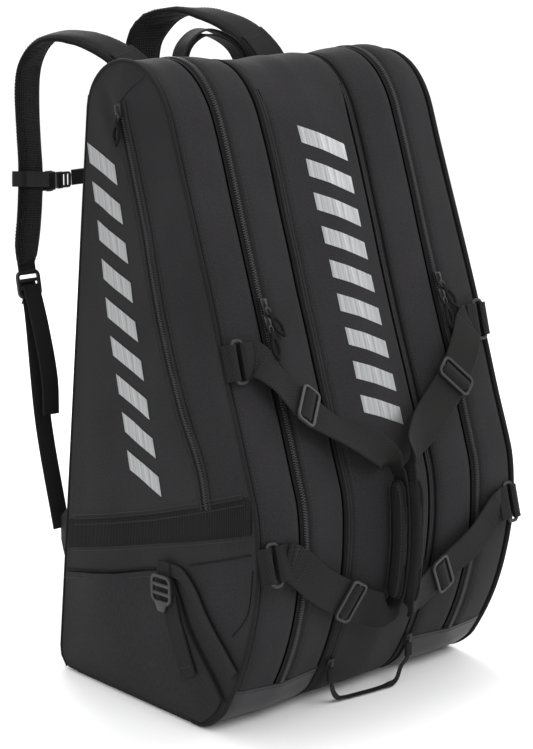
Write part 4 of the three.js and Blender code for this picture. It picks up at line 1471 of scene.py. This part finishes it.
def make_sternum_buckle():
    """A side-release buckle: the socket with side windows, and the plug's body."""
    upright_turn = Matrix.Rotation(math.radians(90), 4, "X")
    socket, plug = (Matrix.Translation((x, 0.240, 0.606)) @ upright_turn for x in (-0.1424, -0.1168))
    build = Build()
    build.add(block(0.024, 0.024, 0.0075, 0.0022, 3), socket)
    build.add(block(0.012, 0.014, 0.0020, 0.0008), moved(socket, 0.002, 0, -0.0042))
    for y in (-0.0118, 0.0118):
        build.add(block(0.009, 0.0030, 0.0050, 0.0010), moved(socket, 0.0035, y, 0))
    build.piece("buckle_socket", "left_shoulder_strap", PLASTIC, ["sternum_buckle_socket"])
    build = Build()
    build.add(block(0.009, 0.022, 0.0062, 0.0018, 3), moved(plug, -0.006, 0, 0))
    frame_at = moved(plug, 0.004, 0, 0)
    buckle_frame(build, frame_at, 0.016, 0.021, 0.0034, 0.0044, radius=0.003)
    build.add(block(0.0030, 0.018, 0.0038, 0.0010), frame_at)
    build.piece("buckle_plug", "right_shoulder_strap", PLASTIC, ["sternum_buckle_plug"])


def make_wing_tabs():
    """Fabric triangles at the back corners that take the lower straps."""
    for name, sign in SIDES:
        tip = Vector(STRAPS[name]["tab"])
        build = Build()

        def place(u, v, d, sign=sign, tip=tip):
            z = 0.132 + 0.088 * v
            root = Vector((sign * 0.2085, back_y(z) - 0.004, z))
            end = tip + Vector((0, 0, (v - 0.5) * 0.030))
            return root.lerp(end, u) + Vector((sign * (0.0011 + 0.0010 * math.sin(math.pi * u) + d), 0, 0))

        build.slab([k / 6 for k in range(7)], [k / 8 for k in range(9)], place, 0.0022)
        for v in (0.08, 0.92):
            line = [place(k / 8, v, 0.0003) for k in range(9)]
            stitches(build, line, X_AXIS * sign)
        build.piece(f"{name}_wing_tab", "bag", [CLOTH, THREAD])


def make_grab_handle():
    """Two layers of webbing sewn together, arched over the top of the back."""
    rows = [
        (-0.060, 0.0705, 0.700, (-1, 0, 0)), (-0.063, 0.072, 0.740, (-1, 0, 0)),
        (-0.050, 0.078, 0.779, (-1, 0, 0.8)), (-0.010, 0.084, 0.798, OUT), (0.034, 0.078, 0.779, (1, 0, 0.8)),
        (0.050, 0.072, 0.740, (1, 0, 0)), (0.046, 0.0705, 0.700, (1, 0, 0)),
    ]
    build = Build()
    frames = route([row[:3] for row in rows], [row[3] for row in rows], 7)
    build.ribbon(frames, *HANDLE_WEB)
    gaps = [0.0024 + 0.0040 * math.sin(math.pi * i / (len(frames) - 1)) for i in range(len(frames))]
    inner = [(c - n * gap, s, n) for gap, (c, s, n) in zip(gaps, frames)]
    build.ribbon(inner[3:-3], *HANDLE_WEB)
    stitch_lanes(build, frames, 0.0095, 0.0011)
    build.piece("top_grab_handle", "grab_handle", [WEBBING, THREAD], ["grab_handle"], smooth=60)


# ---- left side: pocket zip, pocket band, shoe pocket ------------------------------------------
# Lines on the side panels, as (y, z) points.
SIDE_ZIP = [
    (-0.012, 0.721), (-0.052, 0.596), (-0.076, 0.504), (-0.098, 0.432),
    (-0.124, 0.364), (-0.150, 0.315), (-0.161, 0.270),
]


def side_route(sign, points, d, per_knot=6):
    """Frames along (y, z) points on a side panel."""
    line = catmull([(0, y, z) for y, z in points], per_knot)
    out = X_AXIS * sign
    across = [ahead.cross(out).normalized() for ahead in headings(line)]
    return [(side(sign, p.y, p.z, d), sideways, out) for p, sideways in zip(line, across)]


def side_seam(build, sign, points, radius, d, look=0, shift=0.0):
    """A thin cord along a line of the side panel, moved across it by a shift."""
    build.cord([c + s * shift for c, s, _ in side_route(sign, points, d)], radius, look=look)


def side_stitches(build, sign, points, d, look=1, shift=0.0):
    """Stitches along a line of the side panel, moved across it by a shift."""
    stitches(build, [c + s * shift for c, s, _ in side_route(sign, points, d)], X_AXIS * sign, look)


def make_side_zip():
    """The pocket zip down the left side, its two folds, its slider and its puller."""
    sign = -1
    frames = side_route(sign, SIDE_ZIP, 0.0008, 10)
    reach = running_length([centre for centre, _, _ in frames])

    def frame_at(s, x, d):
        i = min(max(int(np.searchsorted(reach, s)) - 1, 0), len(frames) - 2)
        share = (s - reach[i]) / (reach[i + 1] - reach[i])
        centre = frames[i][0].lerp(frames[i + 1][0], share)
        across = frames[i][1].lerp(frames[i + 1][1], share).normalized()
        out = X_AXIS * sign
        return placed(across, out.cross(across).normalized(), out, centre + across * x + out * d)

    make_zip("side_zip", frame_at, reach[-1], "side_pocket_zipper", half=0.0062)
    build = Build()
    for shift in (-0.0082, 0.0082):
        side_seam(build, sign, SIDE_ZIP, 0.0021, 0.0004, shift=shift)
        side_stitches(build, sign, SIDE_ZIP, 0.0006, shift=shift * 1.75)
    side_seam(build, sign, [(-0.0115, 0.724), (-0.030, 0.740), (-0.052, 0.7545)], 0.0011, 0.0002)
    build.piece("side_zip_folds", "bag", [CLOTH, THREAD])

    up = Vector((0, 0.040, 0.125)).normalized()
    place = on_strap(side(sign, -0.0145, 0.713, 0.0012), up, X_AXIS * sign)
    make_slider("side_zip_slider", "side_pocket_slider", "side_pocket_slider", place)
    turn = Matrix.Rotation(-math.atan2(up.y, up.z) - 0.10, 4, "Z")
    make_puller("side_zip_puller", "side_pocket_puller", place @ PULLER_PIVOT @ turn, 0.027)


BAND_FRONT, BAND_REAR = -0.2335, 0.1125
BAND_TOP_LINE = [(0.114, 0.199), (0.020, 0.2225), (-0.057, 0.243), (-0.140, 0.269), (-0.236, 0.301)]
BAND_LOW_LINE = [(0.116, 0.161), (0.020, 0.185), (-0.056, 0.205), (-0.140, 0.228), (-0.240, 0.257)]


def line_at(points, y):
    """Height of a line at y."""
    ys, zs = zip(*reversed(points))
    return float(np.interp(y, ys, zs))


def clipped(points):
    """The part of a line that lies on the side panel."""
    line = [(y, line_at(points, y)) for y in np.linspace(points[0][0], points[-1][0], 24)]
    return [(y, z) for y, z in line if front_y(z) + 0.003 < y < back_y(z) - 0.003]


def make_side_band(sign, name):
    """The ribbed tape across the side above the lower pocket, with its double top seam."""
    build = Build()

    def place(u, v, d):
        y = BAND_FRONT + (BAND_REAR - BAND_FRONT) * u
        low, high = line_at(BAND_LOW_LINE, y), line_at(BAND_TOP_LINE, y)
        z = low + (high - low) * v
        y = min(max(y, front_y(z) + 0.0015), back_y(z) - 0.0015)
        edge = -0.0010 * (1 - ease(min(v, 1 - v) / 0.10))
        return side(sign, y, z, 0.0010 + edge + d)

    build.slab([k / 30 for k in range(31)], [0, 0.05, 0.1, 0.25, 0.5, 0.75, 0.9, 0.95, 1], place, 0.0014)
    top_line = clipped(BAND_TOP_LINE)
    for shift in (0.0, 0.0075):
        side_seam(build, sign, top_line, 0.0011, 0.0003, 1, -shift * sign)
    side_stitches(build, sign, top_line, 0.0021, 2, 0.0045 * sign)
    side_stitches(build, sign, clipped(BAND_LOW_LINE), 0.0021, 2, -0.0035 * sign)
    build.piece(f"{name}_side_band", "bag", [LOOP_TAPE, CLOTH, THREAD], smooth=60)


def make_right_seams():
    """The plainer right side: the seam under its band, and one down to the front corner."""
    build = Build()
    side_seam(build, 1, [(0.117, 0.132), (0.010, 0.158), (-0.100, 0.188), (-0.236, 0.232)], 0.0012, 0.0003)
    side_seam(build, 1, [(-0.098, 0.186), (-0.122, 0.140), (-0.156, 0.086), (-0.188, 0.046)], 0.0012, 0.0003)
    side_stitches(build, 1, [(0.117, 0.126), (0.010, 0.152), (-0.100, 0.182), (-0.234, 0.226)], 0.0006)
    side_stitches(build, 1, [(-0.092, 0.184), (-0.116, 0.138), (-0.150, 0.084), (-0.182, 0.044)], 0.0006)
    build.piece("right_side_seams", "bag", [BINDING_AND_SEAM_SHADE, THREAD])


POCKET_MOUTH = [(0.117, 0.130), (0.060, 0.142), (0.005, 0.155), (-0.040, 0.168), (-0.100, 0.184)]
POCKET_EDGE = [(-0.098, 0.180), (-0.113, 0.155), (-0.131, 0.119), (-0.160, 0.082), (-0.188, 0.046)]
POCKET_FRONT, POCKET_REAR, POCKET_LOW = -0.184, 0.1165, 0.008
POCKET_STRIP = [
    (-0.096, 0.185), (-0.119, 0.183), (-0.137, 0.168), (-0.156, 0.141), (-0.192, 0.099), (-0.206, 0.084),
]


def make_shoe_pocket():
    """The lower pocket: a full panel with an open top edge and a slanted front seam."""
    sign = -1
    build = Build()

    def top_of(y):
        if y > POCKET_EDGE[0][0]:
            return line_at(POCKET_MOUTH, y)
        return line_at(POCKET_EDGE, y)

    def place(u, v, d):
        y = POCKET_FRONT + (POCKET_REAR - POCKET_FRONT) * u
        height = top_of(y) - POCKET_LOW
        z = POCKET_LOW + height * v
        y = min(max(y, front_y(z) + 0.010), back_y(z) - 0.006)
        rim = 0.0016 * (1 - ease((1 - v) * height / 0.006))
        full = 0.0026 * ease(min(u, 1 - u) / 0.25) * ease(v / 0.35)
        gape = 0.0030 * bump(y, 0.030, 0.100) * ease((v - 0.6) / 0.4)
        return side(sign, y, z, 0.0030 + full - rim + gape + d)

    build.slab(shares(30), shares(20), place, 0.0026)
    side_stitches(build, sign, [(y, z - 0.006) for y, z in POCKET_MOUTH], 0.0066)
    build.piece("shoe_pocket_cloth", "bag", [CLOTH, THREAD], ["shoe_pocket_panel"], smooth=60)

    build = Build()
    side_seam(build, sign, [(y, z + 0.003) for y, z in POCKET_MOUTH], 0.0016, 0.0006)
    side_seam(build, sign, POCKET_EDGE, 0.0019, 0.0036)
    side_seam(build, sign, [(-0.129, 0.197), (-0.180, 0.214), (-0.232, 0.232)], 0.0010, 0.0004)
    side_seam(build, sign, [(-0.200, 0.128), (-0.226, 0.160), (-0.236, 0.215)], 0.0009, 0.0002)
    build.piece("pocket_seams", "bag", BINDING_AND_SEAM_SHADE)

    build = Build()
    frames = side_route(sign, POCKET_STRIP, 0.0040, 8)
    build.ribbon(frames, 0.016, 0.0020)
    stitch_lanes(build, frames, 0.0055, 0.0013)
    build.piece("pocket_strip", "bag", [CLOTH, THREAD])

    build = Build()
    frames = side_route(sign, [(-0.098, 0.152), (-0.108, 0.124), (-0.120, 0.094), (-0.133, 0.064)], 0.0076, 6)
    build.ribbon(frames, 0.029, 0.0018)
    for frame_here in (frames[-3], frames[-1]):
        stitch_across(build, frame_here, 0.011, 0.0012, 6)
    holder = side_route(sign, [(-0.088, 0.193), (-0.089, 0.172)], 0.0058, 4)
    build.ribbon(holder, 0.024, 0.0030)
    build.piece("pocket_webbing", "bag", [FINE_WEB, THREAD], ["pocket_strap"], smooth=60)

    tilt = Vector((0, 0.03, 1)).normalized()
    lock = on_strap(Vector((-0.2262, -0.0890, 0.1600)), tilt, X_AXIS * sign)
    build = Build()
    buckle_frame(build, lock, 0.037, 0.036, 0.0046, 0.0044, bars=2, radius=0.007)
    build.add(block(0.024, 0.012, 0.0036, 0.0014, taper=0.5), moved(lock, 0, -0.0210, 0.0004))
    build.piece("pocket_lock_frame", "pocket_lock", PLASTIC, ["pocket_ladder_lock"])


# ---- silver print ----------------------------------------------------------------------------
PRINT_SLANT = 0.40
PRINT_LIFT = {-1: 0.0007, 1: 0.0009}
BAR_COUNT = 9


def print_bars(build, place, low, high, half, taper=0.0):
    """Plain slanted bars in a column, the lowest ones narrower by the taper."""
    pitch = (high - low) / BAR_COUNT
    for i in range(BAR_COUNT):
        top = high - i * pitch
        reach = half * (1 - taper * i / BAR_COUNT)
        thick = pitch * 0.52

        def point(u, v, d, top=top, reach=reach, thick=thick):
            across = (2 * u - 1) * reach
            return place(across, top - thick * (1 - v) - (across + half) * PRINT_SLANT, d)

        build.slab([k / 10 for k in range(11)], [0, 0.25, 0.5, 0.75, 1], point, 0.0003)


def make_prints():
    """Slanted silver bars down the flap and both sides, a plain pattern of its own."""
    build = Build()

    def on_flap(x, s, d):
        x += 0.006
        return skin(x, s, PUFF * math.sin(math.pi * (x + FLAP_X) / (2 * FLAP_X)) + 0.0005 + d)

    print_bars(build, on_flap, along_at(0.345), along_at(0.690), 0.034, 0.14)
    build.piece("flap_print", "flap", FOIL)
    for name, sign in SIDES:
        def on_side(across, along, d, sign=sign):
            """A column that leans with the bag's back edge."""
            y = 0.030 - (0.670 - along) * 0.200 - across
            return side(sign, y, along, PRINT_LIFT[sign] + d)

        build = Build()
        print_bars(build, on_side, 0.268, 0.672, 0.027)
        build.piece(f"{name}_side_print", "bag", FOIL)


make_front()
make_band()
make_piping()
make_flap_zips()
make_front_zips()
make_sliders()
make_pull_loop()
make_side_panels()
make_back()
make_back_cushions()
for side_name, side_sign in SIDES:
    make_handle(side_name, side_sign)
make_ring_tabs()
for side_name, side_sign in SIDES:
    make_grip(side_name, side_sign)
for side_name, _ in SIDES:
    make_shoulder_strap(side_name)
make_sternum_buckle()
make_wing_tabs()
make_grab_handle()
make_side_zip()
for side_name, side_sign in SIDES:
    make_side_band(side_sign, side_name)
make_right_seams()
make_shoe_pocket()
make_prints()
